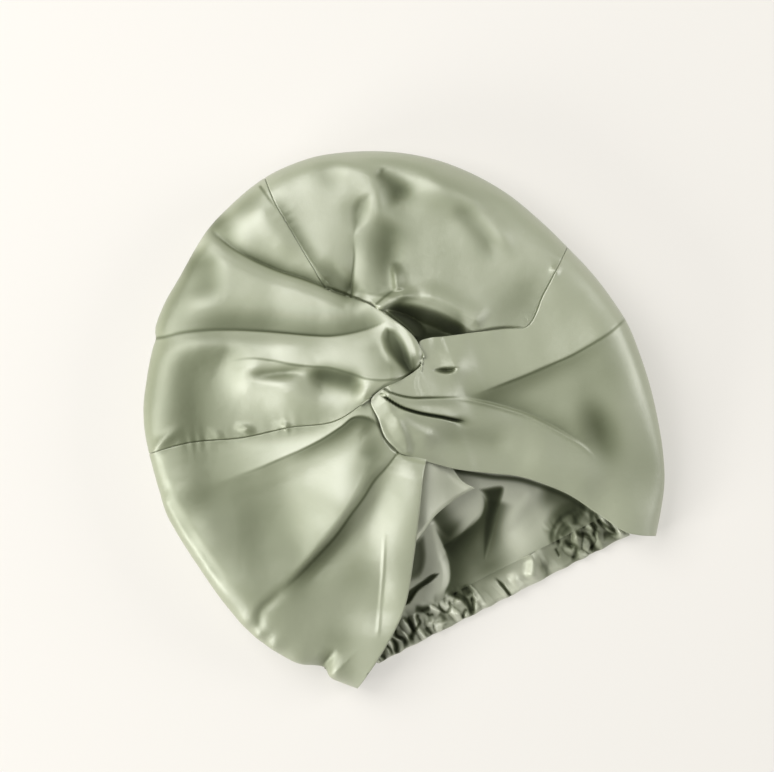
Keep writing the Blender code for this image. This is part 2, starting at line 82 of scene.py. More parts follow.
# Seams and edges of the panels
CENTRE_SEAM: Points = (LOOP_TOP, (0, 95), (-2, 125), (-3, 143), TOP_RIM)
LOOP_EDGE: Points = (LOOP_END, (38, 23), (30, 43), (20, 59), (12, 67))
LEFT_SEAM: Points = (TWIST_LEFT, (-32, 0), (-60, 9.5), (-90, 17.5), (-125, 31), LEFT_RIM)
RIGHT_SEAM: Points = ((104, -2), (125, 12), RIGHT_RIM)
RIGHT_TOP_EDGE: Points = (
    TWIST_TIP, (20, 4.5), (29, 5.6), (34, 7.4), (37, 11), (37.4, 17), (39.6, 21), (44.5, 20.6),
    (54, 17), (75, 9.5), (92, 3),
)
RIGHT_HEM: Points = (
    HEM_TOP, (8, -50), (20, -61), (40, -75), (58, -87), (70, -99), (80, -111), (92, -132),
    (104, -152), RIGHT_CORNER,
)
STRAP_EDGE: Points = (TWIST_TIP, (-5.5, 2), (-7, -12), (-8.5, -23), HEM_TOP)
LEFT_HEM: Points = (
    (13, -45), (8, -50), (-10, -76), (-26, -100), (-50, -131), (-72, -147), LEFT_CORNER,
)

# Hidden ends of the panels, under the twist
LOOP_UNDER: Points = (LOOP_END, (25, 3), (10, 1), TWIST_LEFT)
LEFT_SIDE_UNDER: Points = (TWIST_LEFT, (-1, -8), (-2, -24), (4, -36), (13, -45))
CROWN_UNDER: Points = (LOOP_TOP, (8, 60), (24, 38), (36, 12), (60, 4), (104, -2))
# fmt: on


def ease(share: np.ndarray) -> np.ndarray:
    """Smooth rise from 0 to 1."""
    t = np.clip(share, 0, 1)
    return t * t * (3 - 2 * t)


def fades(share: np.ndarray, fade_in: float, fade_out: float) -> np.ndarray:
    """Strength along a route, easing in from its start and out to its end over these shares.

    Args:
        share: shares of the length.
        fade_in: share over which the strength comes in, or 0.
        fade_out: share over which it goes, or 0.

    Returns:
        Strengths from 0 to 1.
    """
    strength = np.ones_like(share)
    if fade_in:
        strength = strength * ease(share / fade_in)
    if fade_out:
        strength = strength * ease((1 - share) / fade_out)
    return strength


class Route:
    """A smooth plan curve through a few points, measured along its length."""

    CHUNK = 4000
    PART_STOPS = 120

    def __init__(self, points: Points, steps: int = 8) -> None:
        """Draw the curve.

        Args:
            points: places that the curve goes through.
            steps: straight steps between two of them.
        """
        spots = np.array(points, float)
        gaps = np.diff(spots, axis=0)
        lengths = np.linalg.norm(gaps, axis=1)
        slopes = gaps / lengths[:, None]
        heads, tails = lengths[:-1, None], lengths[1:, None]
        bends = (slopes[:-1] * tails + slopes[1:] * heads) / (heads + tails)
        turns = np.vstack([slopes[:1], bends, slopes[-1:]])
        t = np.linspace(0, 1, steps, endpoint=False)[None, :, None]
        first, last = spots[:-1, None], spots[1:, None]
        stretch = lengths[:, None, None]
        curve = (
            (2 * t**3 - 3 * t**2 + 1) * first
            + (t**3 - 2 * t**2 + t) * turns[:-1, None] * stretch
            + (3 * t**2 - 2 * t**3) * last
            + (t**3 - t**2) * turns[1:, None] * stretch
        )
        self.mark(np.vstack([curve.reshape(-1, 2), spots[-1:]]))

    def mark(self, places: np.ndarray) -> None:
        """Keep the places of the curve and the length run at each.

        Args:
            places: the ends of its straight steps.
        """
        self.places = places
        self.steps = np.diff(places, axis=0)
        self.sizes = np.linalg.norm(self.steps, axis=1)
        self.marks = np.concatenate([[0], np.cumsum(self.sizes)])
        self.length = float(self.marks[-1])

    def at(self, share: np.ndarray | float) -> np.ndarray:
        """Places at these shares of the length."""
        run = np.asarray(share) * self.length
        return np.stack([np.interp(run, self.marks, self.places[:, k]) for k in (0, 1)], axis=-1)

    def share_of(self, spot: tuple[float, float]) -> float:
        """Share of the length where the route comes nearest to a point."""
        return float(self.measure(np.array([spot], float))[1][0])

    def part(self, first: tuple[float, float], last: tuple[float, float]) -> "Route":
        """The stretch of the route between two of its points."""
        stops = np.linspace(self.share_of(first), self.share_of(last), self.PART_STOPS)
        return Line(self.at(stops))

    def near(self, places: np.ndarray, reach: float) -> np.ndarray:
        """Which places lie in the box round the route, or within this reach of it."""
        low, high = self.places.min(axis=0) - reach, self.places.max(axis=0) + reach
        return ((places > low) & (places < high)).all(axis=-1)

    def encloses(self, places: np.ndarray) -> np.ndarray:
        """Which of a list of places lie inside the route, taken as a closed outline.

        Args:
            places: a list of plan places.

        Returns:
            True for each place inside.
        """
        x, y = places[:, :1], places[:, 1:]
        (left, low), (right, high) = self.places[:-1].T, self.places[1:].T
        between = (low > y) != (high > y)
        meets = left + (y - low) * (right - left) / np.where(high == low, 1.0, high - low)
        return (between & (x < meets)).sum(axis=1) % 2 == 1

    def measure(self, places: np.ndarray) -> tuple[np.ndarray, np.ndarray]:
        """Where places lie beside the route.

        Args:
            places: plan places, in any arrangement.

        Returns:
            Signed distance (left is positive), and share of the length.
        """
        flat = places.reshape(-1, 2)
        starts = range(0, len(flat), self.CHUNK)
        found = [self.measure_few(flat[k : k + self.CHUNK]) for k in starts]
        away, share = (np.concatenate(column) for column in zip(*found))
        return away.reshape(places.shape[:-1]), share.reshape(places.shape[:-1])

    def measure_few(self, flat: np.ndarray) -> tuple[np.ndarray, np.ndarray]:
        """Measure a short list of places against every step of the route.

        Args:
            flat: a list of plan places.

        Returns:
            Signed distance, and share of the length.
        """
        rel = flat[:, None, :] - self.places[None, :-1, :]
        along = np.clip((rel * self.steps).sum(-1) / self.sizes**2, 0, 1)
        square = ((rel - along[..., None] * self.steps) ** 2).sum(-1)
        near = square.argmin(axis=1)
        pick = np.arange(len(flat))
        along = along[pick, near]
        gap = rel[pick, near] - along[:, None] * self.steps[near]
        step = self.steps[near] / self.sizes[near, None]
        sign = np.where(step[:, 0] * gap[:, 1] - step[:, 1] * gap[:, 0] >= 0, 1.0, -1.0)
        share = (self.marks[near] + along * self.sizes[near]) / self.length
        return np.sqrt(square[pick, near]) * sign, share


class Line(Route):
    """A route whose points are already close together, joined by straight steps."""

    def __init__(self, points: np.ndarray) -> None:
        """Join the points."""
        self.mark(np.array(points, float))


def joined(*stretches: Points) -> Route:
    """One route through the points of several, without the points they share.

    Args:
        stretches: the routes, end to end.

    Returns:
        The whole route.
    """
    points = [stretches[0][0]]
    for stretch in stretches:
        points += [point for point in stretch if point != points[-1]]
    return Route(tuple(points))


class Profile(Enum):
    """Cross section of a fold."""

    ROLL = "rounded on top"
    CREASE = "comes to a line"


class Pressed:
    """Cloth that is pressed up or down along a plan route."""

    route: Points

    def span(self) -> float:
        """How far outside the box round the route the cloth still moves."""
        return 0.0

    def rise(self, route: Route, places: np.ndarray) -> np.ndarray:
        """Lift of the cloth at a list of places near the route."""
        raise NotImplementedError

    def press(self, places: np.ndarray) -> np.ndarray:
        """Lift of the cloth at plan places in any arrangement.

        Args:
            places: plan places.

        Returns:
            The lift at each.
        """
        route, lift = Route(self.route), np.zeros(places.shape[:-1])
        near = route.near(places, self.span())
        if near.any():
            lift[near] = self.rise(route, places[near])
        return lift


@dataclass(frozen=True)
class Fold(Pressed):
    """A fold along a plan route. Left and right are seen walking from its first point.

    Height is upwards, so a valley has a negative one. Left and right are the fold's widths on
    the two sides, and taper is its width at the end over the start. Edge is the roundness of a
    crease, and dim is how much painted shade the fold adds for each millimetre it goes down.
    """

    route: Points
    height: float
    left: float
    right: float
    fade_in: float = 0.3
    fade_out: float = 0.3
    profile: Profile = Profile.ROLL
    edge: float = 1.0
    taper: float = 1.0
    dim: float = 0.5

    def span(self) -> float:
        """How far outside the box round the route the cloth still moves."""
        return 3.0 * max(self.left, self.right) * max(1.0, self.taper)

    def rise(self, route: Route, places: np.ndarray) -> np.ndarray:
        """Lift of the fold at a list of places.

        Args:
            route: the curve that the fold follows.
            places: the places near it.

        Returns:
            The lift at each place.
        """
        away, share = route.measure(places)
        wide = np.where(away > 0, self.left, self.right) * (1 + (self.taper - 1) * share)
        ratio = np.abs(away) / wide
        crest = self.height * fades(share, self.fade_in, self.fade_out)
        if self.profile is Profile.ROLL:
            return crest * np.exp(-(ratio**2))
        soft = np.hypot(away, self.edge) - self.edge
        return crest * np.exp(-soft / wide) * ease((3 - ratio) / 1.5)


@dataclass(frozen=True)
class Pucker(Pressed):
    """Small gathers across a sewn line."""

    route: Points
    height: float
    reach: float
    pitch: float
    fade: float = 0.1

    def span(self) -> float:
        """How far outside the box round the line the cloth still moves."""
        return 3.0 * self.reach

    def rise(self, route: Route, places: np.ndarray) -> np.ndarray:
        """Lift of the gathers at a list of places, uneven along the line.

        Args:
            route: the sewn line.
            places: the places near it.

        Returns:
            The lift at each place.
        """
        away, share = route.measure(places)
        run = share * route.length
        phase = 2 * math.pi * run / self.pitch + 1.6 * np.sin(run / self.pitch * 1.7)
        swing = 0.6 + 0.4 * np.sin(run / self.pitch * 0.9 + 1.0)
        crest = self.height * np.sin(phase) * swing * fades(share, self.fade, self.fade)
        return crest * np.exp(-((np.abs(away) / self.reach) ** 1.3))


@dataclass(frozen=True)
class Pocket(Pressed):
    """A dip inside a closed plan route, which runs anticlockwise, with walls of one width; dim
    times its drop is painted shade.
    """

    route: Points
    depth: float
    wall: float
    dim: float = 1.0

    def rise(self, route: Route, places: np.ndarray) -> np.ndarray:
        """Lift of the cloth at a list of places, down inside the route."""
        away, _ = route.measure(places)
        return -self.depth * ease(np.abs(away) / self.wall) * route.encloses(places)


@dataclass(frozen=True)
class Tuck:
    """Cloth within a reach on the left of a route lies this much lower, easing out beyond it."""

    route: Points
    depth: float
    ease_out: float
    reach: float = 25.0
    fade_in: float = 0.0
    fade_out: float = 0.0

    def press(self, places: np.ndarray) -> np.ndarray:
        """Lift of the cloth at plan places.

        Args:
            places: plan places, in any arrangement.

        Returns:
            The lift at each, down on the left of the route.
        """
        away, share = Route(self.route).measure(places)
        beyond = np.maximum(-away, away - self.reach).clip(min=0)
        depth = self.depth * fades(share, self.fade_in, self.fade_out)
        return -depth * np.exp(-((beyond / self.ease_out) ** 2))


@dataclass(frozen=True)
class Dent:
    """A round or oval dip, or a swell where its height is positive; where it goes down, dim times
    the drop is painted shade, and the shallowest dents are there mostly for that painted shade.
    """

    centre: tuple[float, float]
    height: float
    radius: float
    long: float = 1.0
    turn: float = 0.0
    dim: float = 0.5

    def press(self, places: np.ndarray) -> np.ndarray:
        """Lift of the cloth at plan places.

        Args:
            places: plan places, in any arrangement.

        Returns:
            The lift at each.
        """
        rel = places - np.array(self.centre)
        c, s = math.cos(math.radians(self.turn)), math.sin(math.radians(self.turn))
        along = (rel[..., 0] * c + rel[..., 1] * s) / (self.radius * self.long)
        across = (rel[..., 1] * c - rel[..., 0] * s) / self.radius
        return self.height * np.exp(-(along**2 + across**2))


def slack(places: np.ndarray) -> np.ndarray:
    """The slight unevenness of limp satin, in millimetres of height.

    Args:
        places: plan places, in any arrangement.

    Returns:
        The lift at each.
    """
    x, y = places[..., 0], places[..., 1]
    bend = 6 * np.sin(x / 31 + y / 47)
    return (
        0.45 * np.sin((x + 0.6 * y + bend) / 17)
        + 0.35 * np.sin((0.8 * x - y + bend) / 12.5 + 1.3)
        + 0.16 * np.sin((x * 0.3 + y + 1.4 * bend) / 6.1 + 0.4)
        + 0.10 * np.sin((x - 0.4 * y - bend) / 4.3 + 2.1)
    )


Relief = tuple[Fold | Pucker | Tuck | Pocket | Dent, ...]


def press_all(relief: Relief, places: np.ndarray) -> tuple[np.ndarray, np.ndarray]:
    """Press a list of folds into the cloth.

    Args:
        relief: the folds.
        places: plan places.

    Returns:
        The lift, and the painted shade at each place, in millimetres.
    """
    lift = slack(places)
    painted_shade = np.zeros_like(lift)
    for fold in relief:
        rise = fold.press(places)
        lift += rise
        # Each fold that goes down adds painted shade: its dim times how far it goes down
        if not isinstance(fold, (Tuck, Pucker)):
            painted_shade += fold.dim * np.clip(-rise, 0, None)
    return lift, painted_shade


HAIRLINE_DEPTH = 0.25
SHADE_DEPTH = 0.5
CRINKLE_DEPTH = 1.6


def hairline(
    route: Points, width: float = 0.8, fade_in: float = 0.1, fade_out: float = 0.1
) -> Fold:
    """A thin line of painted shade where two folds touch, over a very shallow groove."""
    return Fold(route, -HAIRLINE_DEPTH, width, width, fade_in, fade_out, dim=24.0)


def shade(
    route: Points, left: float, right: float, amount: float,
    fade_in: float = 0.3, fade_out: float = 0.3,
) -> Fold:  # fmt: skip
    """A shallow valley beside a line, with this much painted shade along it.

    Args:
        route: the line.
        left: how far it spreads on the left.
        right: how far it spreads on the right.
        amount: the painted shade at the line, in millimetres of shade depth.
        fade_in: share of the line where it begins.
        fade_out: share of the line where it ends.

    Returns:
        The valley.
    """
    return Fold(route, -SHADE_DEPTH, left, right, fade_in, fade_out, dim=amount / SHADE_DEPTH)


def crinkle(route: Points, width: float, amount: float) -> Fold:
    """A narrow crease between two ruffles, with this much painted shade in it."""
    return Fold(route, -CRINKLE_DEPTH, width, width, 0.2, 0.2, dim=amount / CRINKLE_DEPTH)


# fmt: off
# Long lines that several folds follow
FAN_VALLEY: Points = (
    (-50, 156), (-46, 143), (-41, 131), (-30, 114.5), (-18, 100.5), (-8, 90.5), (3, 78), (14, 64),
)
UPPER_VALLEY: Points = (
    (-118, 103), (-107, 99), (-95, 96), (-80, 90.5), (-65, 83.2), (-50, 74.8), (-35, 65.5),
    (-20, 56), (-10, 50.5), (0, 46.8), (10, 44.2), (20, 42.8), (29, 42.5),
)
LOOP_CREASE: Points = (
    (-78, 66), (-62, 60.5), (-50, 52.5), (-40, 44.5), (-30, 38), (-20, 32), (-10, 23), (0, 13.5),
    (10, 8), (25, 4),
)
LEFT_LAP: Points = (
    (-130, 4), (-115, -1), (-105, -3), (-90, -5), (-75, -6), (-60, -7), (-45, -7), (-30, -5.5),
    (-20, -4), (-14, -7), (-10, -12), (-8, -18),
)
LOWER_LAP: Points = (
    (0, -33), (-5, -36), (-15, -41), (-28, -46), (-38, -52), (-50, -58), (-65, -66), (-80, -72),
    (-100, -79), (-116, -83),
)
HEM_CREASE: Points = (
    (-27, -60), (-34, -73), (-42, -88), (-50, -102), (-58, -115), (-66, -128), (-73, -139),
)
WING_ROLL: Points = (
    (48, -25), (60, -27), (75, -28.5), (90, -30), (105, -31), (120, -32), (135, -31.5), (150, -30),
    (168, -26),
)
WING_BAND: Points = (
    (42, -20), (50, -25), (60, -33), (70, -42), (80, -52), (90, -65), (98, -77), (104, -87),
    (108, -100),
)
SLIT: Points = (
    (2, 3), (5, -4), (9, -10.5), (15, -17), (22, -23), (30, -29), (36, -34), (42, -38.5),
)
UPPER_SLIT: Points = ((5, 5), (8, 0), (13, -5), (20, -10), (28, -14), (38, -19), (50, -25))

# shade(), hairline(), crinkle() and the dents half a millimetre deep with a large dim are painted
# shade more than shape, and every fold that goes down adds painted shade by its dim
# Folds near the seams are shared by the panels on both sides, so that the panels meet
CENTRE_FOLDS: Relief = (
    Fold(FAN_VALLEY, -5, 8, 5, 0.15, 0.06, Profile.CREASE, 1.0, taper=0.7, dim=0.15),
    hairline(FAN_VALLEY[2:7], 0.9, 0.3, 0.0),
    shade(FAN_VALLEY[1:], 5, 0.9, 5.5, 0.1, 0.2),
    Fold(((-15, 156), (-12, 130), (-7, 104)), 2.0, 8, 8),
    Fold(((9, 99), (10, 89), (12, 79), (17, 66)), -3, 5.5, 6.5, 0.6, 0.0, dim=1.3),
    Pucker(CENTRE_SEAM, 0.18, 4, 7),
    hairline(((-7, 159), (-5, 147), (-3.5, 137)), 0.8, 0.1, 0.5),
    shade(((-1, 150), (-0.5, 125), (1.5, 105), (4, 84)), 5.0, 1.5, 5, 0.3, 0.0),
)

LEFT_FOLDS: Relief = (
    Fold(((-80, 70), (-70, 57), (-59, 42), (-47, 26), (-36, 11), (-28, -2)), 8, 12, 15, 0.3, 0.5),
    Dent((-118, 2), -4.5, 28, 2.7, 90, 1.2),
    Dent((-96, -40), -1.5, 18, 1.4, 60, 2.4),
    Fold(LEFT_LAP, 2.8, 10, 6, 0.45, 0.2, Profile.CREASE, 0.8),
    shade(LEFT_LAP[4:], 0.9, 8, 11, 0.6, 0.15),
    shade(((-104, 30), (-86, 16), (-60, 5), (-34, 0), (-16, 4)), 12, 5, 3.0, 0.3, 0.3),
    Dent((-15, 0), -0.5, 7, 1.7, 0, 8),
    hairline(LEFT_LAP[1:], 0.8, 0.35, 0.1),
    Pucker(LEFT_SEAM, 0.25, 5, 8, 0.15),
    Fold(((-156, 33), (-140, 38.5), (-120, 42)), 2.0, 3.5, 4, 0.2, 0.5),
    Dent((-86, 21.5), 2.4, 2.8, 1.7, 140),
    Dent((-62, 12), 1.8, 2.4, 1.6, 140),
    Dent((-104, 26), 1.0, 2.5, 2.0, 110),
    Dent((-6, 8), 2.2, 5.5, 1.3, 10),
)

LEFT_CROWN_FOLDS: Relief = (
    Fold(UPPER_VALLEY, -2.6, 10, 9, 0.3, 0.1, Profile.CREASE, 1.0, taper=1.2, dim=0.15),
    shade(UPPER_VALLEY, 11, 0.7, 8.5, 0.5, 0.08),
    hairline(UPPER_VALLEY, 0.9, 0.0, 0.3),
    Fold(((-122, 92), (-90, 84), (-65, 71), (-40, 57), (-10, 43)), 4.2, 9, 11),
    Fold(((-58, 143), (-64, 122), (-72, 102)), -2.5, 11, 14, 0.35, 0.35, dim=3.2),
    Fold(LOOP_CREASE, 4.5, 14, 7, 0.45, 0.12, Profile.CREASE, 0.8),
    hairline(LOOP_CREASE, 0.8, 0.25, 0.1),
    Fold(((-74, 54), (-60, 47.5), (-50, 43.5), (-40, 40), (-28, 37)), -2.6, 3.5, 4, 0.35, 0.4,
        dim=1.6),
    Fold(((-44, 31), (-34, 29), (-24, 23.5), (-13, 15.5), (-4, 10)), -3, 7, 9, 0.4, 0.25, dim=0.0),
    shade(((-38, 33), (-29, 31), (-20, 25.5), (-11, 18.5), (-4, 13)), 6, 7, 17, 0.4, 0.25),
    Dent((-88, 112), -0.5, 10, 1.5, 35, 7),
    Dent((-42, 147), -0.5, 7, 1.6, -60, 11),
    Dent((-20, 149), -0.5, 7, 1.8, 12, 5),
    Dent((-70, 69), -0.5, 9, 1.6, -20, 6),
    Dent((-104, 60), -2, 19, 1.7, 60, 2.8),
    Fold(((33.5, 42), (35.5, 28), (34, 10)), 1, 3, 3, 0.2, 0.1),
    shade(((15, 38), (13, 25), (17, 8)), 3, 8, 2.5),
    Pocket(((25, 39.5), (20, 37), (16.5, 28), (18, 17), (22, 8), (25.5, 1), (28.5, 9), (31, 18),
        (32, 26), (30.5, 34), (25, 39.5)), 2.6, 5.5, 4.6),
    shade(((24.5, 30), (25.3, 16), (25.6, 2)), 4, 4, 20, 0.7, 0.0),
)

RIGHT_SHARED: Relief = (
    Pucker(RIGHT_SEAM, 0.18, 4, 7),
    Dent((138, 22), 2.0, 2.6),
)

RIGHT_CROWN_FOLDS: Relief = (
    Fold(((3, 50), (9, 60), (13, 67), (20, 78), (27, 89), (32, 100), (35, 112)), -3, 8, 7, 0.0, 0.4,
        Profile.CREASE, 0.8, dim=0.15),
    shade(((26, 60), (38, 76), (50, 90), (62, 100)), 14, 14, 4.6, 0.05, 0.2),
    hairline(((10, 62), (13, 67), (20, 78), (27, 89), (32, 100)), 0.8, 0.0, 0.5),
    shade(((9, 60), (13, 67), (20, 78), (27, 89)), 4, 0.9, 4, 0.0, 0.7),
    Dent((42, 113), -2.4, 9, 1.2, 45, 0.4),
    Pocket(((31, 99), (46, 106), (55, 121), (46, 123), (37, 117), (31, 99)), 0.7, 6.0, 5),
    Fold(((34, 152), (48, 144), (57, 133), (59, 121), (53, 109), (44, 99)), 1.7, 6, 8),
    Dent((38, 141), -0.5, 8, 1.4, -40, 4),
    Dent((76, 82), -1, 28, 1.3, 60, 2.0),
    Dent((69, 113), -3, 10.5, 1.5, 100, 0.5),
    Fold(((66, 133), (69.5, 119), (71.5, 104)), -1.4, 2.8, 2.8, 0.15, 0.35, taper=3.6, dim=5),
    Dent((74, 111), -0.5, 5.5, 1.4, 110, 14),
    Dent((98, 103), 4.6, 11, 1.6, 115),
    Fold(((103, 102), (112, 84), (117, 62), (119, 40)), 1.8, 6, 6),
    Fold(((97, 92), (104, 76), (107, 60), (107, 42)), -1.0, 6, 6, dim=3),
    Dent((109, 12), -2, 15, 1.6, 25, 1.6),
    Fold(((41.5, 56), (44.5, 64), (48, 75)), 3.2, 2.6, 4, 0.1, 0.5),
    Dent((49, 82), -2.2, 8, 1.7, 60, 2.2),
    Fold(((23, 51.5), (34, 52.5), (44, 51.5), (54, 46)), 4.2, 4.5, 3, 0.05, 0.4),
    Fold(((46, 52), (58, 44), (67, 34), (75, 22), (81, 10)), 3.4, 8, 4, 0.3, 0.15),
    hairline(((24, 54.5), (34, 57), (43, 58.5)), 0.8, 0.1, 0.4),
    Pocket(((25, 52), (30, 42), (34, 32), (35, 19), (48, 9), (60, 5), (76, 2), (71, 17), (63.5, 29),
        (55, 38.5), (45.5, 46), (36, 50.5), (25, 52)), 21, 12.5, 0.25),
    shade(((27, 48), (33, 35), (37, 21), (50, 15), (68, 8)), 11, 3, 22, 0.1, 0.1),
)

LEFT_SIDE_FOLDS: Relief = (
    Fold(((-2, -6), (-18, -22), (-34, -39), (-54, -53), (-78, -63), (-98, -70)), 13.5, 13, 27, 0.7,
        0.5),
    shade(((-14, -10), (-18, -22), (-26, -34)), 6, 6, 4),
    Dent((-27, -34), -0.5, 8, 1.6, 40, 8),
    Fold(LOWER_LAP, 3.4, 3, 15, 0.75, 0.3, Profile.CREASE, 0.9),
    Fold(LOWER_LAP, -6.5, 17, 2.5, 0.5, 0.35, dim=0.1),
    Fold(LOWER_LAP[4:], -0.5, 3.0, 0.5, 0.35, 0.3, taper=4.0, dim=9),
    hairline(LOWER_LAP, 0.8, 0.0, 0.2),
    Fold(LEFT_HEM, 6, 8, 22, 0.12, 0.3),
    Dent((-16, -77), 7.5, 24, 1.3, 56),
    Fold(HEM_CREASE[2:], -3.4, 14, 20, 0.5, 0.35, Profile.CREASE, 0.7, dim=0.0),
    Fold(HEM_CREASE[1:], 0.6, 1.2, 1.2, 0.4, 0.1),
    Dent((-84, -62), -0.5, 15, 1.7, 28, 3),
    Dent((-64, -90), -0.5, 12, 1.3, 50, 4),
    Dent((-96, -133), -0.5, 12, 1.3, 50, 4),
    Fold(((-150, 30), (-151, 2), (-147, -40), (-141, -74)), -0.8, 4, 3, dim=1.2),
    Pucker(((-156, 20), (-154, -47), (-144, -98), (-126, -130), (-108, -150)), 1.0, 7, 17, 0.05),
    Fold(((-102, -81), (-120, -84), (-133, -89), (-136.5, -98), (-131, -110)), -1.6, 4, 3, 0.5, 0.5,
        dim=0.9),
    Dent((-136, -8), -1.5, 12, 1.4, 0, 1.6),
    Fold(((-119, -141), (-110, -137.5), (-98, -131)), -3.5, 3, 3, 0.0, 0.6, Profile.CREASE,
        dim=1.0),
    Dent((-108, -147), 3, 8, 1.6, 50),
)

RIGHT_SIDE_FOLDS: Relief = (
    Fold(SLIT, -4.0, 0.6, 0.6, 0.05, 0.15, taper=1.5, dim=10),
    Dent((39.5, -37.2), -1.6, 2.4, 1.9, -40, 2.4),
    Fold(SLIT, 2.6, 5, 6, 0.1, 0.3),
    Fold(UPPER_SLIT, -1.6, 0.5, 0.5, 0.03, 0.6, taper=1.3, dim=9),
    Fold(UPPER_SLIT, 2.0, 6, 4, 0.1, 0.3),
    Dent((53, -3), 4.0, 9.0),
    Pocket(((37.5, 1), (41, -3.2), (46, -6.6), (51, -7), (53, -4.6), (49, -2), (44, 0.2),
        (37.5, 1)), 5, 3.0, 2.2),
    Fold(WING_ROLL, 3.2, 24, 10, 0.12, 0.04, Profile.CREASE, 1.6),
    shade(WING_ROLL, 0.9, 9, 4, 0.2, 0.7),
    hairline(WING_ROLL[1:], 0.8, 0.2, 0.1),
    Fold(WING_BAND, -2.8, 12, 9, 0.2, 0.3, Profile.CREASE, 0.8),
    Fold(tuple((x - 1.4, y - 1.0) for x, y in WING_BAND), 1.2, 1.2, 1.2, 0.2, 0.3),
    shade(WING_BAND, 9, 0.8, 1.6, 0.25, 0.4),
    Dent((117, -83), -2.5, 9.5, 1.8, 85, 3.2),
    Fold(((16, -38), (40, -50), (66, -68)), -3, 9, 9),
    Fold(((60, -70), (84, -96), (100, -125)), 2.0, 14, 12),
    Fold(((4, -10), (9, -26), (22, -42)), 3.2, 5, 8),
    Dent((132, -52), -0.5, 18, 1.4, 0, 3),
    Fold(((3, 0), (2, -9), (3, -20), (2, -31), (-2, -42)), 2.6, 3, 8, 0.3, 0.1),
    Fold(((-6.5, -8), (-7.4, -20), (-6, -30), (-2.5, -38)), 0.8, 1.6, 1.8, 0.2, 0.1),
    Dent((130, -120), -2, 18, dim=0.3),
    Pocket(((50, 4), (50, 34), (22, 34), (22, 4), (50, 4)), 0.9, 12.0, 0.0),
)

# Where one panel alone passes under the twist, or swells along its own edge
LOOP_TURN: Relief = (
    Tuck(((44, 12), (38, 9.6), (31, 6.2), (20, 4.6), (5, 5.2), (-3, 3.5)), 2.7, 0.7),
    Fold(LOOP_EDGE, 1.5, 8, 8, 0.1, 0.2),
)
CROWN_TUCKS: Relief = (
    Tuck(((40, 16), (30.4, 43.5), (12.3, 67.5), (2, 79)), 2.9, 0.9, fade_out=0.1),
    Tuck(((106, -4), (92, 3.4), (62, 13), (36, 24.5)), 2.9, 0.9, fade_in=0.3),
)
STRAP_TURN: Relief = (
    Fold(RIGHT_TOP_EDGE[7:], 1.2, 8, 8, 0.1, 0.2),
    Fold(((-4, -36), (-8, -22), (-6, 3), (18, 4)), 1.0, 8, 8, 0.1, 0.2),
)
SIDE_TUCK: Relief = (
    Tuck(((-5.6, 6), (-5.6, 1), (-7.1, -12), (-8.6, -23), (-4.2, -38.2), (7.8, -50.2), (18, -60)),
        2.8, 0.7),
)
# fmt: on


@dataclass(frozen=True)
class PuffedForm:
    """The soft dome that all the panels lie on."""

    rim_height: float = 20.0
    corner_height: float = 7.0
    corner_reach: float = 60.0
    shoulder: float = 38.0
    fullness: float = 3.0
    plateau: float = 47.0
    mouth_plateau: float = 28.0
    plateau_end: float = -45.0
    mouth_end: float = -163.0
    twist_rise: float = 21.0
    twist_reach: float = 56.0

    def low(self, share: np.ndarray, rim: Route) -> np.ndarray:
        """Height of the widest line, lower towards the two corners of the mouth.

        Args:
            share: shares of the rim's length.
            rim: the widest line.

        Returns:
            The height at each.
        """
        run = np.minimum(share, 1 - share) * rim.length
        rise = self.rim_height - self.corner_height
        return self.corner_height + rise * ease(run / self.corner_reach)

    def swell(self, inset: np.ndarray) -> np.ndarray:
        """How far up the shoulder the cloth is, from 0 to 1, this far in from the rim."""
        share = np.clip(inset / self.shoulder, 0, 1)
        return (1 - (1 - share) ** self.fullness) ** (1 / self.fullness)

    def height(self, places: np.ndarray, rim: Route) -> np.ndarray:
        """Height of the form over each plan place.

        Args:
            places: plan places, in any arrangement.
            rim: the widest line.

        Returns:
            The height at each.
        """
        away, share = rim.measure(places)
        t = np.clip((self.plateau_end - places[..., 1]) / (self.plateau_end - self.mouth_end), 0, 1)
        top = self.plateau + (self.mouth_plateau - self.plateau) * t**3 * (6 * t**2 - 15 * t + 10)
        from_twist = np.linalg.norm(places - np.array(TWIST), axis=-1)
        top = top + self.twist_rise * np.exp(-((from_twist / self.twist_reach) ** 2))
        low = self.low(share, rim)
        return low + (top - low) * self.swell(np.abs(away))


@dataclass(frozen=True)
class Edge:
    """How the sides of a panel are finished: a lip rolled back, or a seam turned down."""

    lip_radius: float = 0.8
    lip_return: float = 9.0
    lip_ease: float = 0.05
    seam_gap: float = 0.06
    seam_depth: float = 2.6
    seam_round: float = 0.8
    places: int = 6

    def path(self, lip: np.ndarray) -> tuple[np.ndarray, np.ndarray]:
        """Inset and depth along a side, from its hidden end round to the top of the cloth.

        Args:
            lip: for each row, 1 for a lip and 0 for a seam.

        Returns:
            Insets and depths, a row of places for each row of the panel.
        """
        turn = np.linspace(math.pi, 0, self.places)
        lip_inset = np.append(self.lip_return, self.lip_radius * (1 - np.sin(turn)))
        lip_depth = np.append(2 * self.lip_radius, self.lip_radius * (1 - np.cos(turn)))
        slope = np.linspace(math.pi / 2, 0, self.places)
        seam_inset = np.append(self.seam_gap, self.seam_gap + self.seam_round * (1 - np.sin(slope)))
        seam_depth = np.append(self.seam_depth, self.seam_round * (1 - np.cos(slope)))
        mix = np.asarray(lip)[:, None]
        return mix * lip_inset + (1 - mix) * seam_inset, mix * lip_depth + (1 - mix) * seam_depth

    def lip_share(self, stretch: tuple[float, float], out: np.ndarray) -> np.ndarray:
        """How much of a side is a lip, row by row, easing to a seam at its stretch's ends."""
        begin, finish = stretch
        return ease((out - begin) / self.lip_ease) * ease((finish - out) / self.lip_ease)


# The stretch of a side that is a lip, as shares from the twist outwards
NO_LIP = (1.5, 2.0)
HEM_END = 0.94


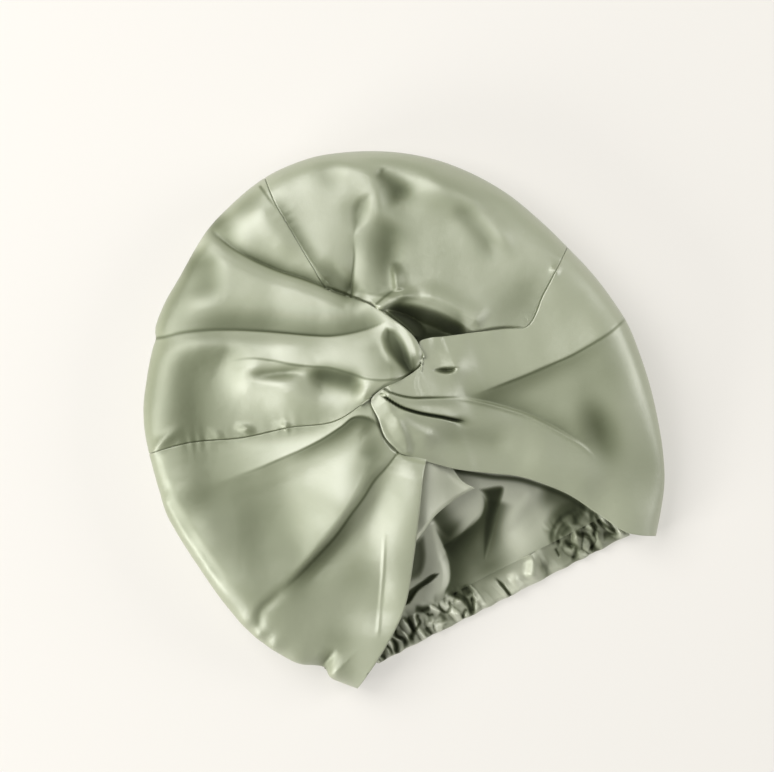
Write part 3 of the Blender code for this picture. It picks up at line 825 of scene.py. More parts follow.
@dataclass(frozen=True)
class Patch:
    """A fan between four plan routes: two across, inner and outer, and two outwards."""

    inner: Route
    outer: Route
    start: Route
    end: Route

    def places(self, across: np.ndarray, out: np.ndarray) -> np.ndarray:
        """Plan places at shares across and outwards.

        Args:
            across: shares from the start side to the end side.
            out: shares from the inner route to the outer one.

        Returns:
            The places.
        """
        first, last = self.start.at(out), self.end.at(out)
        low, high = self.inner.at(across), self.outer.at(across)
        a, b = across[..., None], out[..., None]
        corners = (
            (1 - a) * (1 - b) * self.inner.at(0.0)
            + a * (1 - b) * self.inner.at(1.0)
            + (1 - a) * b * self.outer.at(0.0)
            + a * b * self.outer.at(1.0)
        )
        return (1 - b) * low + b * high + (1 - a) * first + a * last - corners

    def reach(self, across: np.ndarray, low: float, high: float) -> np.ndarray:
        """Millimetres for each unit of share outwards, between two shares."""
        near, far = (self.places(across, np.full_like(across, out)) for out in (low, high))
        return np.linalg.norm(far - near, axis=-1) / (high - low)

    def widths(self, out: np.ndarray, stops: int = 24) -> np.ndarray:
        """Length across the fan at each share outwards."""
        spots = self.places(np.linspace(0, 1, stops)[None, :], out[:, None] * np.ones(stops))
        return np.linalg.norm(np.diff(spots, axis=1), axis=-1).sum(axis=1)


@dataclass(frozen=True)
class Panel:
    """One cloth panel of the front: its fan, its edges and its folds."""

    name: str
    patch: Patch
    start_lip: tuple[float, float]
    end_lip: tuple[float, float]
    relief: Relief
    inner_lip: bool = False
    row_size: float = 1.0
    column_size: float = 0.92
    fan_reach: float = 155.0
    under_inset: float = 14.0
    back_seam: float = 30.0
    under_steps: int = 7
    corner_line: float = -150.0
    corner_fade: float = 30.0
    corner_turn: float = 0.15
    inner_turn: float = 1.05
    slope_stops: int = 400
    rim_sample: float = 0.97

    def rows(self, form: PuffedForm) -> np.ndarray:
        """Shares outwards of the rows, evenly spread along the shoulder's slope.

        Args:
            form: the dome under the cloth.

        Returns:
            The shares, from the twist out to the rim.
        """
        inset = np.linspace(0, self.fan_reach, self.slope_stops)
        height = form.rim_height + (form.plateau - form.rim_height) * form.swell(inset)
        run = np.concatenate([[0], np.cumsum(np.hypot(np.diff(inset), np.diff(height)))])
        count = round(run[-1] / self.row_size)
        return 1 - np.interp(np.linspace(run[-1], 0, count + 1), run, inset) / self.fan_reach

    def grid(self, form: PuffedForm, rim: Route, edge: Edge) -> np.ndarray:
        """Places of the panel's outer face, row by row from the twist to the seam of the back.

        Args:
            form: the dome under the cloth.
            rim: the widest line.
            edge: finish of the sides.

        Returns:
            Rows by columns of places, in millimetres, with the painted shade at each.
        """
        rows_top = self.rows(form)
        inner_count = edge.places if self.inner_lip else 0
        swing = np.linspace(0, math.pi / 2, self.under_steps + 1)[1:]
        under_share = np.append(1 - np.sin(swing), 0.0)
        top_out = np.concatenate([np.zeros(inner_count), rows_top, np.ones(len(under_share))])

        # The shares across: the turned edge at the start, the middle, the turned edge at the end
        width = self.patch.widths(top_out)
        start_inset, start_depth = edge.path(edge.lip_share(self.start_lip, top_out))
        end_inset, end_depth = edge.path(edge.lip_share(self.end_lip, top_out))
        start_share = start_inset / width[:, None]
        end_share = 1 - end_inset[:, ::-1] / width[:, None]
        columns = round(self.patch.outer.length / self.column_size)
        inside = np.linspace(0, 1, columns + 1)[None, 1:-1]
        middle = start_share[:, -1:] * (1 - inside) + end_share[:, :1] * inside
        across = np.hstack([start_share, middle, end_share])
        depth = np.hstack([start_depth, np.zeros_like(middle), end_depth[:, ::-1]])

        # The shares outwards: the inner lip, the top of the cloth, and the way round the rim
        rim_reach = self.patch.reach(across[-1], self.rim_sample, 1.0)
        twist_reach = self.patch.reach(across[0], 0.0, 1.0)
        out = np.repeat(top_out[:, None], across.shape[1], axis=1)
        if inner_count:
            inner_inset, inner_depth = edge.path(np.ones(1))
            out[:inner_count] = inner_inset[0, :-1, None] / twist_reach
            turned = self.inner_turn * inner_depth[0, :-1, None]
            depth[:inner_count] = np.hypot(depth[:inner_count], turned)
            out[inner_count:] += (1 - out[inner_count:]) * edge.lip_radius / twist_reach
        rim_row = inner_count + len(rows_top) - 1
        low = form.low(rim.measure(self.patch.places(across[rim_row], out[rim_row]))[1], rim)
        inset = self.under_inset * (low / form.rim_height) * (1 - np.cos(swing))[:, None]
        inset = np.vstack([inset, np.full((1, across.shape[1]), self.back_seam)])
        out[rim_row + 1 :] = 1 - inset / rim_reach

        # A side that ends at a corner of the mouth turns down less there
        if self.patch.end.at(1.0)[1] < self.corner_line:
            from_corner = np.abs(1 - out[:, -1:]) * self.patch.end.length
            fade = ease(from_corner / self.corner_fade)
            depth *= self.corner_turn + (1 - self.corner_turn) * fade

        # The turned edges go in along the smooth form's own normal
        plan = self.patch.places(across, out)
        height = form.height(plan, rim)
        first, last = start_share.shape[1] - 1, across.shape[1] - end_share.shape[1]
        smooth = np.dstack([plan, height])
        smooth[rim_row + 1 :, :, 2] *= under_share[:, None]
        solid = smooth[inner_count:, first : last + 1]
        normal = np.cross(np.gradient(solid, axis=1), np.gradient(solid, axis=0))
        normal /= np.linalg.norm(normal, axis=-1, keepdims=True)
        if normal[len(rows_top) // 2, normal.shape[1] // 2, 2] < 0:
            normal = -normal

        lift, painted_shade = press_all(self.relief, plan)
        for values in (lift, painted_shade):
            values[rim_row + 1 :] = values[rim_row]
        height = height + lift
        height[rim_row + 1 :] = height[rim_row] * under_share[:, None]
        pads = ((inner_count, 0), (first, across.shape[1] - 1 - last), (0, 0))
        inwards = np.pad(normal, pads, mode="edge") * depth[..., None]
        return np.dstack([np.dstack([plan, height]) - inwards, painted_shade])


def run_lengths(grid: np.ndarray) -> np.ndarray:
    """Where each place of a grid lies on the flat cloth, in metres along it and across it.

    Args:
        grid: rows by columns of places, in millimetres.

    Returns:
        Rows by columns of flat coordinates.
    """
    along = np.linalg.norm(np.diff(grid, axis=1), axis=-1)
    along = np.pad(np.cumsum(along, axis=1), ((0, 0), (1, 0)))
    along -= along[:, along.shape[1] // 2, None]
    down = np.linalg.norm(np.diff(grid, axis=0), axis=-1)
    down = np.pad(np.cumsum(down, axis=0), ((1, 0), (0, 0)))
    return np.dstack([along, down]) * MM


@dataclass(frozen=True)
class Tint:
    """A linear colour."""

    red: float
    green: float
    blue: float

    @property
    def rgba(self) -> tuple[float, float, float, float]:
        """The colour as a shader socket takes it."""
        return (self.red, self.green, self.blue, 1.0)


class NodeKit:
    """Shorthand for building one node tree."""

    def __init__(self, tree: bpy.types.NodeTree) -> None:
        """Keep the tree."""
        self.tree = tree

    def add(self, kind: str, **settings: object) -> bpy.types.Node:
        """A node of a kind, with its settings.

        Args:
            kind: type of the node.
            settings: its properties by name.

        Returns:
            The node.
        """
        node = self.tree.nodes.new(kind)
        for name, value in settings.items():
            setattr(node, name, value)
        return node

    def feed(self, node: bpy.types.Node, values: dict[str | int, object]) -> bpy.types.Node:
        """Set a node's inputs, or link them where the value is another node's output.

        Args:
            node: the node.
            values: a number, colour or socket for each input, by name or place.

        Returns:
            The same node.
        """
        for name, value in values.items():
            if isinstance(value, bpy.types.NodeSocket):
                self.tree.links.new(value, node.inputs[name])
            else:
                node.inputs[name].default_value = value
        return node

    def math(self, operation: str, first: object, second: object = 0.0) -> bpy.types.NodeSocket:
        """The result of a sum on two sockets or numbers."""
        node = self.add("ShaderNodeMath", operation=operation)
        return self.feed(node, {0: first, 1: second}).outputs[0]

    def mix(self, kind: str, share: object, first: object, second: object) -> bpy.types.NodeSocket:
        """The blend of two colours or numbers, all of the second where the share is 1."""
        node = self.add("ShaderNodeMix", data_type=kind)
        return self.feed(node, {"Factor": share, "A": first, "B": second}).outputs["Result"]


class FinishGroup:
    """A node group that several finishes share."""

    NAME = ""
    INPUTS: dict[str, str] = {}
    OUTPUTS: tuple[str, ...] = ()

    @classmethod
    def group(cls) -> bpy.types.NodeTree:
        """The group, built when it is first asked for.

        Returns:
            The node group.
        """
        found = bpy.data.node_groups.get(cls.NAME)
        if found:
            return found
        tree = bpy.data.node_groups.new(cls.NAME, "ShaderNodeTree")
        for name, kind in cls.INPUTS.items():
            tree.interface.new_socket(name, in_out="INPUT", socket_type=f"NodeSocket{kind}")
        for name in cls.OUTPUTS:
            tree.interface.new_socket(name, in_out="OUTPUT", socket_type="NodeSocketFloat")
        kit = NodeKit(tree)
        given = kit.add("NodeGroupInput").outputs
        kit.feed(kit.add("NodeGroupOutput"), cls.wire(kit, given))
        return tree

    @classmethod
    def wire(cls, kit: NodeKit, given: bpy.types.bpy_prop_collection) -> dict[str, object]:
        """Build the nodes inside, and give the socket for each output."""
        raise NotImplementedError


class SatinWeave(FinishGroup):
    """Node group: the warp-faced weave of satin, from the cloth's own flat coordinates."""

    NAME = "satin_weave"
    INPUTS = {"Vector": "Vector", "Thread": "Float"}
    OUTPUTS = ("Height", "Slub")
    WEFT_SHARE = 0.42
    WARP_HEIGHT = 0.6
    SLUB_SCALE = (1500.0, 130.0, 1.0)

    @classmethod
    def wire(cls, kit: NodeKit, given: bpy.types.bpy_prop_collection) -> dict[str, object]:
        """Threads along the cloth, crossed now and then, and slubs.

        Args:
            kit: builder of the group's nodes.
            given: sockets of the group's inputs.

        Returns:
            The socket for each output.
        """
        parts = kit.feed(kit.add("ShaderNodeSeparateXYZ"), {0: given["Vector"]}).outputs
        pitch = kit.math("DIVIDE", 2 * math.pi, given["Thread"])
        warp = kit.math("SINE", kit.math("MULTIPLY", parts[0], pitch))
        weft_pitch = kit.math("MULTIPLY", pitch, cls.WEFT_SHARE)
        weft = kit.math("SINE", kit.math("MULTIPLY", parts[1], weft_pitch))
        cross = kit.math("MULTIPLY", kit.math("MULTIPLY", warp, weft), 1 - cls.WARP_HEIGHT)
        stretch = kit.feed(
            kit.add("ShaderNodeMapping"), {"Scale": cls.SLUB_SCALE, "Vector": given["Vector"]}
        )
        slub = kit.add("ShaderNodeTexNoise", noise_dimensions="2D")
        kit.feed(slub, {"Scale": 1.0, "Detail": 2.0, "Vector": stretch.outputs[0]})
        height = kit.math("ADD", kit.math("MULTIPLY", warp, cls.WARP_HEIGHT), cross)
        return {"Height": height, "Slub": slub.outputs["Fac"]}


class ClothTone(FinishGroup):
    """Node group: slow changes of shade and fine crumples, in the object's own metres."""

    NAME = "cloth_tone"
    INPUTS = {"Vector": "Vector", "Patch Scale": "Float", "Crumple Scale": "Float"}
    OUTPUTS = ("Shade", "Crumple")

    @classmethod
    def wire(cls, kit: NodeKit, given: bpy.types.bpy_prop_collection) -> dict[str, object]:
        """Two noises of different sizes.

        Args:
            kit: builder of the group's nodes.
            given: sockets of the group's inputs.

        Returns:
            The socket for each output.
        """
        made = {}
        for output, scale, detail in zip(cls.OUTPUTS, ("Patch Scale", "Crumple Scale"), (3.0, 4.0)):
            noise = kit.add("ShaderNodeTexNoise")
            kit.feed(noise, {"Detail": detail, "Vector": given["Vector"], "Scale": given[scale]})
            made[output] = noise.outputs["Fac"]
        return made


@dataclass(frozen=True)
class Satin:
    """A satin finish: its shades, its gloss and the size of its weave."""

    name: str
    light: Tint = Tint(0.375, 0.40, 0.285)
    dark: Tint = Tint(0.31, 0.34, 0.225)
    # Painted shade: the satin goes olive where the painted shade is shallow and near black where it
    # is deep, over these depths in millimetres
    olive: Tint = Tint(0.135, 0.165, 0.055)
    deep: Tint = Tint(0.022, 0.03, 0.008)
    olive_depth: float = 5.0
    deep_depth: float = 12.0
    tone_share: float = 0.7
    metallic: float = 0.04
    # Metallic and rough in deep painted shade, so that the gloss goes dark there too
    metallic_deep: float = 0.8
    rough_low: float = 0.33
    rough_high: float = 0.42
    rough_deep: float = 0.75
    ior: float = 2.05
    sheen: float = 0.05
    sheen_roughness: float = 0.4
    thread: float = 0.00042
    weave_depth: float = 0.00002
    crumple: float = 0.0004
    patch_scale: float = 22.0
    crumple_scale: float = 60.0

    def material(self) -> bpy.types.Material:
        """Build the material.

        Returns:
            The satin, whose weave follows the cloth's flat coordinates, with painted shade: it
            turns olive, then near black, dull and metallic, as the mesh's painted shade grows.
        """
        material = bpy.data.materials.new(self.name)
        material.use_nodes = True
        kit = NodeKit(material.node_tree)
        flat = kit.add("ShaderNodeUVMap", uv_map="cloth").outputs[0]
        spot = kit.add("ShaderNodeTexCoord").outputs["Object"]
        shade_paint = kit.add("ShaderNodeAttribute", attribute_name="painted_shade").outputs["Fac"]
        weave = kit.feed(
            kit.add("ShaderNodeGroup", node_tree=SatinWeave.group()),
            {"Vector": flat, "Thread": self.thread},
        ).outputs
        scales = {"Patch Scale": self.patch_scale, "Crumple Scale": self.crumple_scale}
        tone = kit.feed(
            kit.add("ShaderNodeGroup", node_tree=ClothTone.group()), {"Vector": spot, **scales}
        ).outputs

        patches = kit.math("MULTIPLY", tone["Shade"], self.tone_share)
        slubs = kit.math("MULTIPLY", weave["Slub"], 1 - self.tone_share)
        share = kit.math("ADD", patches, slubs)
        # Painted shade: colour, gloss and metal follow the painted shade attribute, olive then near
        # black
        light_left, deep_light = (
            kit.math("EXPONENT", kit.math("DIVIDE", shade_paint, -depth))
            for depth in (self.olive_depth, self.deep_depth)
        )
        colour = kit.mix("RGBA", share, self.dark.rgba, self.light.rgba)
        colour = kit.mix("RGBA", light_left, self.olive.rgba, colour)
        colour = kit.mix("RGBA", deep_light, self.deep.rgba, colour)
        roughs = {"Value": share, "To Min": self.rough_high, "To Max": self.rough_low}
        gloss = kit.feed(kit.add("ShaderNodeMapRange"), roughs).outputs["Result"]
        fine = kit.feed(
            kit.add("ShaderNodeBump"), {"Distance": self.weave_depth, "Height": weave["Height"]}
        )
        soft = kit.feed(
            kit.add("ShaderNodeBump"),
            {
                "Distance": self.crumple,
                "Height": tone["Crumple"],
                "Normal": fine.outputs["Normal"],
            },
        )
        kit.feed(
            material.node_tree.nodes["Principled BSDF"],
            {
                "Base Color": colour,
                "Roughness": kit.mix("FLOAT", deep_light, self.rough_deep, gloss),
                "Metallic": kit.mix("FLOAT", deep_light, self.metallic_deep, self.metallic),
                "Normal": soft.outputs["Normal"],
                "IOR": self.ior,
                "Sheen Weight": self.sheen,
                "Sheen Roughness": self.sheen_roughness,
            },
        )
        return material


@dataclass(frozen=True)
class Cut:
    """Flat size of a piece of cloth before it was sewn, in metres, and how it is held."""

    width: float
    length: float
    area: float
    held: str = "gathered"
    rests_on: tuple[str, ...] = ("back_panel_cloth",)


def cloth_piece(
    name: str, grid: np.ndarray, wall: float, satin: bpy.types.Material
) -> bpy.types.Object:
    """Make a cloth wall whose outer face goes through a grid of places.

    Args:
        name: name of the piece.
        grid: rows by columns of places, in millimetres, with the painted shade at each.
        wall: thickness of the cloth, in millimetres.
        satin: its finish.

    Returns:
        The piece, at the origin, with its flat coordinates in a UV map.
    """
    grid, painted_shade = grid[..., :3], grid[..., 3]
    rows, columns = grid.shape[:2]
    sheet = bmesh.new()
    bmesh.ops.create_grid(sheet, x_segments=columns - 1, y_segments=rows - 1, size=0.5)
    middle = grid[rows // 3 : rows // 3 + 2, columns // 2 : columns // 2 + 2]
    if np.cross(middle[0, 1] - middle[0, 0], middle[1, 0] - middle[0, 0])[2] < 0:
        bmesh.ops.reverse_faces(sheet, faces=sheet.faces)
    for side in sheet.edges:
        side.smooth = not side.is_boundary
    mesh = bpy.data.meshes.new(name)
    sheet.to_mesh(mesh)
    sheet.free()
    spots = np.empty(len(mesh.vertices) * 3)
    mesh.vertices.foreach_get("co", spots)
    column, row = (
        np.rint((spots[axis::3] + 0.5) * (count - 1)).astype(int)
        for axis, count in ((0, columns), (1, rows))
    )
    mesh.vertices.foreach_set("co", ((grid[row, column] - MIDDLE) * MM).ravel())
    flat = run_lengths(grid)[row, column]
    corners = np.empty(len(mesh.loops), dtype=np.int32)
    mesh.loops.foreach_get("vertex_index", corners)
    mesh.uv_layers.new(name="cloth").data.foreach_set("uv", flat[corners].ravel())
    # The painted shade goes on the mesh as an attribute that the satin reads
    shade_paint = mesh.attributes.new("painted_shade", "FLOAT", "POINT")
    shade_paint.data.foreach_set("value", painted_shade[row, column])
    mesh.materials.append(satin)
    mesh.shade_smooth()
    mesh.update()
    piece = bpy.data.objects.new(name, mesh)
    bpy.context.scene.collection.objects.link(piece)
    thickness = piece.modifiers.new("wall", "SOLIDIFY")
    thickness.thickness = wall * MM
    thickness.offset = -1
    return piece


def dress(piece: bpy.types.Object, node: str) -> None:
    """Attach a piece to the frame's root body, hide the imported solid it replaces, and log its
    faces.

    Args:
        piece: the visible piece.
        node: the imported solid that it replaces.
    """
    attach(piece, "root")
    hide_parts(node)
    log.info("%s: %d faces", piece.name, len(piece.data.polygons))


@dataclass
class OuterShell:
    """The satin front of the bonnet, in four panels, and its flat back."""

    form: PuffedForm = PuffedForm()
    edge: Edge = Edge()
    wall: float = 0.7
    back_wall: float = 0.8
    back_lift: float = 1.0
    back_wave: float = 0.35
    back_gap: float = 0.4
    back_length: float = 250.0
    back_size: float = 2.4
    nape: float = -133.5
    top_share: float = 0.25
    top_stops: int = 40
    side_stops: int = 90

    def panels(self, rim: Route) -> tuple[Panel, ...]:
        """The four panels of the front, each round the rim to the seam of the back.

        Args:
            rim: the widest line.

        Returns:
            The panels.
        """
        loop_side = joined(LOOP_EDGE, CENTRE_SEAM)
        right_top = joined(RIGHT_TOP_EDGE, RIGHT_SEAM)
        ease_in = self.edge.lip_ease
        strap_lip = (right_top.share_of(RIGHT_TOP_EDGE[6]), right_top.share_of(RIGHT_SEAM[0]))
        left_seam = Route(LEFT_SEAM)
        left_crown = Patch(Route(LOOP_UNDER), rim.part(TOP_RIM, LEFT_RIM), loop_side, left_seam)
        right_crown = Patch(
            Route(CROWN_UNDER),
            rim.part(TOP_RIM, RIGHT_RIM),
            loop_side.part(LOOP_TOP, TOP_RIM),
            right_top.part(RIGHT_SEAM[0], RIGHT_RIM),
        )
        right_side = Patch(
            Route(STRAP_EDGE), rim.part(RIGHT_RIM, RIGHT_CORNER), right_top, Route(RIGHT_HEM)
        )
        left_side = Patch(
            Route(LEFT_SIDE_UNDER), rim.part(LEFT_RIM, LEFT_CORNER), left_seam, Route(LEFT_HEM)
        )
        return (
            Panel(
                "left_crown", left_crown, (-ease_in, loop_side.share_of(LOOP_TOP)), NO_LIP,
                CENTRE_FOLDS + LEFT_FOLDS + LEFT_CROWN_FOLDS + LOOP_TURN,
            ),
            Panel(
                "right_crown", right_crown, NO_LIP, NO_LIP,
                CENTRE_FOLDS + RIGHT_SHARED + RIGHT_CROWN_FOLDS + CROWN_TUCKS,
            ),
            Panel(
                "right_side", right_side, strap_lip, (-ease_in / 2, HEM_END),
                RIGHT_SHARED + RIGHT_SIDE_FOLDS + STRAP_TURN, inner_lip=True,
            ),
            Panel(
                "left_side", left_side, NO_LIP, (-ease_in, HEM_END),
                LEFT_FOLDS + LEFT_SIDE_FOLDS + SIDE_TUCK,
            ),
        )  # fmt: skip

    def back_grid(self, grids: dict[str, np.ndarray]) -> np.ndarray:
        """The flat back, inside the last rows of the panels.

        Args:
            grids: the panels' places by name.

        Returns:
            Rows by columns of places, in millimetres, with no painted shade.
        """
        edges = self.edge.places
        left, right = (
            np.vstack([grids[f"{side}_{part}"][-1, edges:-edges, :2] for part in ("crown", "side")])
            for side in ("left", "right")
        )
        sides = [side[side[:, 1] > self.nape] for side in (left, right)]
        ways = [np.vstack(sides).mean(axis=0) - side for side in sides]
        left, right = (
            Line(side + way / np.linalg.norm(way, axis=1, keepdims=True) * self.back_gap)
            for side, way in zip(sides, ways)
        )
        stops = np.linspace(0, self.top_share, self.top_stops)
        top = Line(np.vstack([left.at(stops[::-1]), right.at(stops)]))
        down = np.linspace(1, self.top_share, self.side_stops)
        start, end = Line(left.at(down)), Line(right.at(down))
        bottom = Line(np.array([start.places[0], end.places[0]]))
        patch = Patch(bottom, top, start, end)
        count = round(self.back_length / self.back_size) * 1j
        out, across = np.mgrid[0:1:count, 0:1:count]
        plan = patch.places(across, out)
        wave = np.sin(plan[..., 0] / 9 + 2 * np.sin(plan[..., 1] / 23)) + 1
        return np.dstack([plan, self.back_lift + self.back_wave * wave, np.zeros_like(wave)])

    def build(self) -> None:
        """Build and dress the four panels and the back."""
        rim = Route(RIM, steps=5)
        satin = Satin("outer_satin").material()
        grids = {panel.name: panel.grid(self.form, rim, self.edge) for panel in self.panels(rim)}
        back = cloth_piece("back_panel_cloth", self.back_grid(grids), self.back_wall, satin)
        dress(back, "back_panel")
        for name, grid in grids.items():
            piece = cloth_piece(f"{name}_cloth", grid, self.wall, satin)
            dress(piece, name)


@dataclass(frozen=True)
class NapeGathers:
    """The ruffles that the elastic makes along the nape: where they are and how deep."""

    pitch: float = 6.3
    depth: float = 3.6
    rest: float = 0.42
    # Gain of the painted shade in the pits between ruffles
    pit_shade_gain: float = 1.3

    def share(self, x: np.ndarray, y: np.ndarray) -> np.ndarray:
        """How strongly each plan place is gathered: most on the left and on the right.

        Args:
            x: plan places along the nape.
            y: plan places across it.

        Returns:
            Strengths from 0 to 1.
        """
        left = ease((2 - x) / 10) * ease((-129 - y) / 7)
        right = ease((x - 54) / 6) * ease((-119 - y) / 8)
        middle = 0.12 + 0.5 * np.exp(-(((x - 16.5) / 3.5) ** 2))
        middle = middle + 0.3 * np.exp(-(((x - 44) / 4) ** 2))
        return np.clip(left + right + middle * ease((-138 - y) / 10), 0, 1)

    def crest(self, x: np.ndarray, y: np.ndarray, pitch: float, turn: float) -> np.ndarray:
        """One set of uneven ruffles, from 0 in a pit to 1 on a crest.

        Args:
            x: plan places along the nape.
            y: plan places across it.
            pitch: mean width of a ruffle.
            turn: sets where the ruffles bend.

        Returns:
            The height of the ruffles at each place, from 0 to 1.
        """
        drift = x + 2.6 * np.sin(x / 7.1 + turn) + 1.2 * np.sin(x / 3.7 + y / 5.5 + turn)
        drift = drift + 0.9 * np.sin(y / 3.1 + x / 6) + 0.4 * (y + 146) * np.sin(x / 11 + 2 * turn)
        phase = math.pi * drift / pitch
        tall = 0.65 + 0.35 * np.sin(np.floor(phase / math.pi) * 2.4 + y / 6.5)
        return tall * np.abs(np.sin(phase)) ** 0.7

    def lift(self, x: np.ndarray, y: np.ndarray) -> tuple[np.ndarray, np.ndarray]:
        """Height of the ruffles at each plan place, and the painted shade in their pits.

        Args:
            x: plan places along the nape.
            y: plan places across it.

        Returns:
            The height, and the painted shade in the pits, in millimetres.
        """
        blend = ease(0.5 + 0.9 * np.sin(x / 8.3 + y / 4.7 + 1.0))
        narrow, wide = self.crest(x, y, self.pitch, 0.5), self.crest(x, y, self.pitch * 1.5, 2.1)
        crest = blend * narrow + (1 - blend) * wide
        amount = self.depth * self.share(x, y)
        return amount * (crest - self.rest), amount * (1 - crest) ** 2 * self.pit_shade_gain


# fmt: off
POUCH_EDGE: Points = ((-8, -106), (5, -104.5), (18, -102), (25, -99), (30, -93), (31, -84))
LINING_ROLL: Points = (
    (29, -79), (37, -84.5), (45, -88.5), (53, -92), (58, -96), (59, -100.5), (55, -104),
    (47, -107.5), (39, -111), (34, -116), (34.5, -123), (39, -132), (41.5, -139), (38, -146),
    (33, -152),
)

# Here too shade() and the shallow dents with a large dim are mostly painted shade
LINING_FOLDS: Relief = (
    Fold(((8, -50), (20, -61), (40, -75), (58, -87), (70, -99), (80, -111), (90, -128)), 5, 14, 14,
        0.1, 0.35),
    Dent((21, -98), 7.5, 12.5, 1.0, 0),
    shade(((-3, -82), (-2, -94), (1, -103)), 8, 2, 11, 0.05, 0.2),
    Fold(POUCH_EDGE, 1.8, 4, 1.5, 0.15, 0.2),
    shade(POUCH_EDGE, 0.9, 7, 14, 0.05, 0.3),
    Fold(((-8, -86), (-11, -98), (-14, -109), (-16, -120), (-22, -129), (-36, -132)), 8.5, 3.2, 10,
        0.05, 0.3),
    shade(((-6, -90), (-6, -105), (-8.5, -119), (-13, -128), (-21, -134.5)), 11, 0.9, 17, 0.3, 0.1),
    Pocket(((-14, -92), (-32, -92), (-44, -115), (-30, -117), (-20, -107), (-17, -100), (-14, -92)),
        6, 5, 1.2),
    Pocket(((-16.5, -120.5), (-22, -118), (-30, -119), (-40, -120.5), (-52, -124), (-47, -129),
        (-34, -124), (-24, -122.7), (-16.5, -120.5)), 7, 2.2, 3.5),
    shade(((4, -104), (10, -118), (14, -130), (13, -144)), 13, 11, 8.5, 0.05, 0.35),
    shade(((20, -61.5), (40, -77), (58, -89), (70, -101), (80, -113), (92, -134)), 0.6, 1.9, 12,
        0.05, 0.05),
    Dent((52, -118), -0.5, 10, 1.4, 80, 3),
    Dent((50, -141), -0.5, 12, 1.7, 0, 6),
    Dent((5, -137), -0.5, 12, 1.4, 0, 6),
    Dent((77, -138), -0.5, 13, 1.5, 0, 9),
    Fold(LINING_ROLL, 5, 4.5, 4, 0.03, 0.05),
    Pocket(((29, -81), (31, -86), (30, -94), (24, -102), (18, -112), (12, -126), (24, -115),
        (33, -104), (40, -97), (46, -88.8), (29, -81)), 8, 4, 2.8),
    shade(((36, -92), (28, -103), (21, -114), (15, -128)), 8, 4, 12, 0.1, 0.5),
    Dent((50, -99), 3, 7, 1.3, -30),
    shade(((66, -98), (76, -110), (88, -128)), 3, 10, 9, 0.3, 0.1),
    shade(((60, -128), (68, -122), (78, -121), (90, -130)), 4, 8, 10),
)

CASING_FOLDS: Relief = (
    Fold(((13, -138), (15.5, -146), (17.5, -157)), -3, 1.1, 1.1, 0.5, 0.0, dim=4),
    shade(((0, -139), (4, -147), (5, -157)), 5, 5, 1.5, 0.3, 0.0),
    Fold(((25, -140), (24, -150), (22, -158)), 2, 4, 4, 0.4, 0.0),
    Fold(((46, -143), (45, -150), (44, -158)), -1.6, 2.5, 2.5, 0.4, 0.0, dim=2),
)

# Route, width and painted shade of each crease between two ruffles
RUFFLE_PITS: tuple[tuple[Points, float, float], ...] = (
    (((-77, -149), (-75, -155)), 1.2, 10),
    (((-71, -145.5), (-69.5, -150), (-70, -155)), 1.1, 12),
    (((-65.5, -142), (-64.5, -148), (-67, -155)), 1.3, 14),
    (((-60, -137.5), (-61.5, -144), (-58, -149), (-59, -155)), 1.2, 12),
    (((-53, -133.5), (-49.5, -141), (-50, -146), (-54, -150), (-54.5, -155)), 1.4, 16),
    (((-50, -145.5), (-46.5, -145), (-44, -143.5), (-44, -139.5), (-42, -137)), 0.9, 12),
    (((-43, -133.5), (-39, -136), (-33, -137.5)), 1.9, 16),
    (((-41, -148), (-41.5, -152), (-39.5, -156)), 2.2, 7),
    (((-36.5, -139.5), (-36.5, -142), (-33, -142.5)), 0.8, 9),
    (((-30, -143), (-28.5, -147), (-29, -151)), 1.9, 6),
    (((-27, -136), (-27.5, -141), (-25.5, -145), (-21.5, -143), (-20, -138)), 0.8, 7),
    (((-20, -133.5), (-13.5, -138.5), (-10.5, -144), (-10, -150), (-13, -156)), 1.5, 18),
    (((-7.5, -134), (-7, -138), (-6.5, -143)), 2.6, 9),
    (((-6, -143.5), (-7.5, -149), (-10, -154)), 0.9, 14),
    (((-18, -155), (-15, -151), (-12, -149)), 1.2, 8),
    (((56.5, -139), (59, -132), (65, -126.5), (74, -123.5), (84, -125)), 1.4, 11),
    (((57.5, -147), (57.5, -140)), 0.9, 9),
    (((61, -141), (62.5, -134), (67, -130), (73, -128)), 1.2, 9),
    (((64, -135), (69, -132.5), (73, -131)), 2.0, 13),
    (((76, -133), (78.5, -129), (82, -126.5)), 1.8, 12),
    (((66, -137), (66.5, -142), (70, -146), (68, -150), (63, -155)), 1.5, 13),
    (((74.5, -134), (76, -139), (80.5, -144), (80.5, -149), (77.5, -155)), 1.2, 13),
    (((78, -150), (80, -153), (83, -156)), 2.2, 7),
    (((90, -129), (87.5, -134), (87, -140), (83, -146)), 1.3, 14),
    (((91, -131), (91.5, -138), (96, -146), (99, -150)), 1.0, 14),
    (((89, -147), (94, -149.5), (100, -151)), 2.4, 8),
)

# Route, height and widths of each ruffle that stands out
RUFFLE_CRESTS: tuple[tuple[Points, float, float, float], ...] = (
    (((-58, -140), (-56, -147), (-58, -155)), 1.8, 2, 2),
    (((-47, -135), (-46, -141), (-48.5, -149)), 1.8, 2, 2),
    (((-37, -143), (-37, -149), (-36, -156)), 2, 2.2, 2.2),
    (((-33, -146), (-32.5, -152), (-33, -157)), 1.6, 2, 2),
    (((-18, -138), (-17, -145), (-22, -153)), 3, 4.5, 5),
    (((-4, -144), (-4, -150), (-6, -156)), 1.8, 2, 2),
    (((71, -136), (74, -143), (73, -150)), 2.2, 3, 3),
    (((83, -134), (85, -140), (86, -150), (88, -156)), 2.2, 2.6, 3),
)

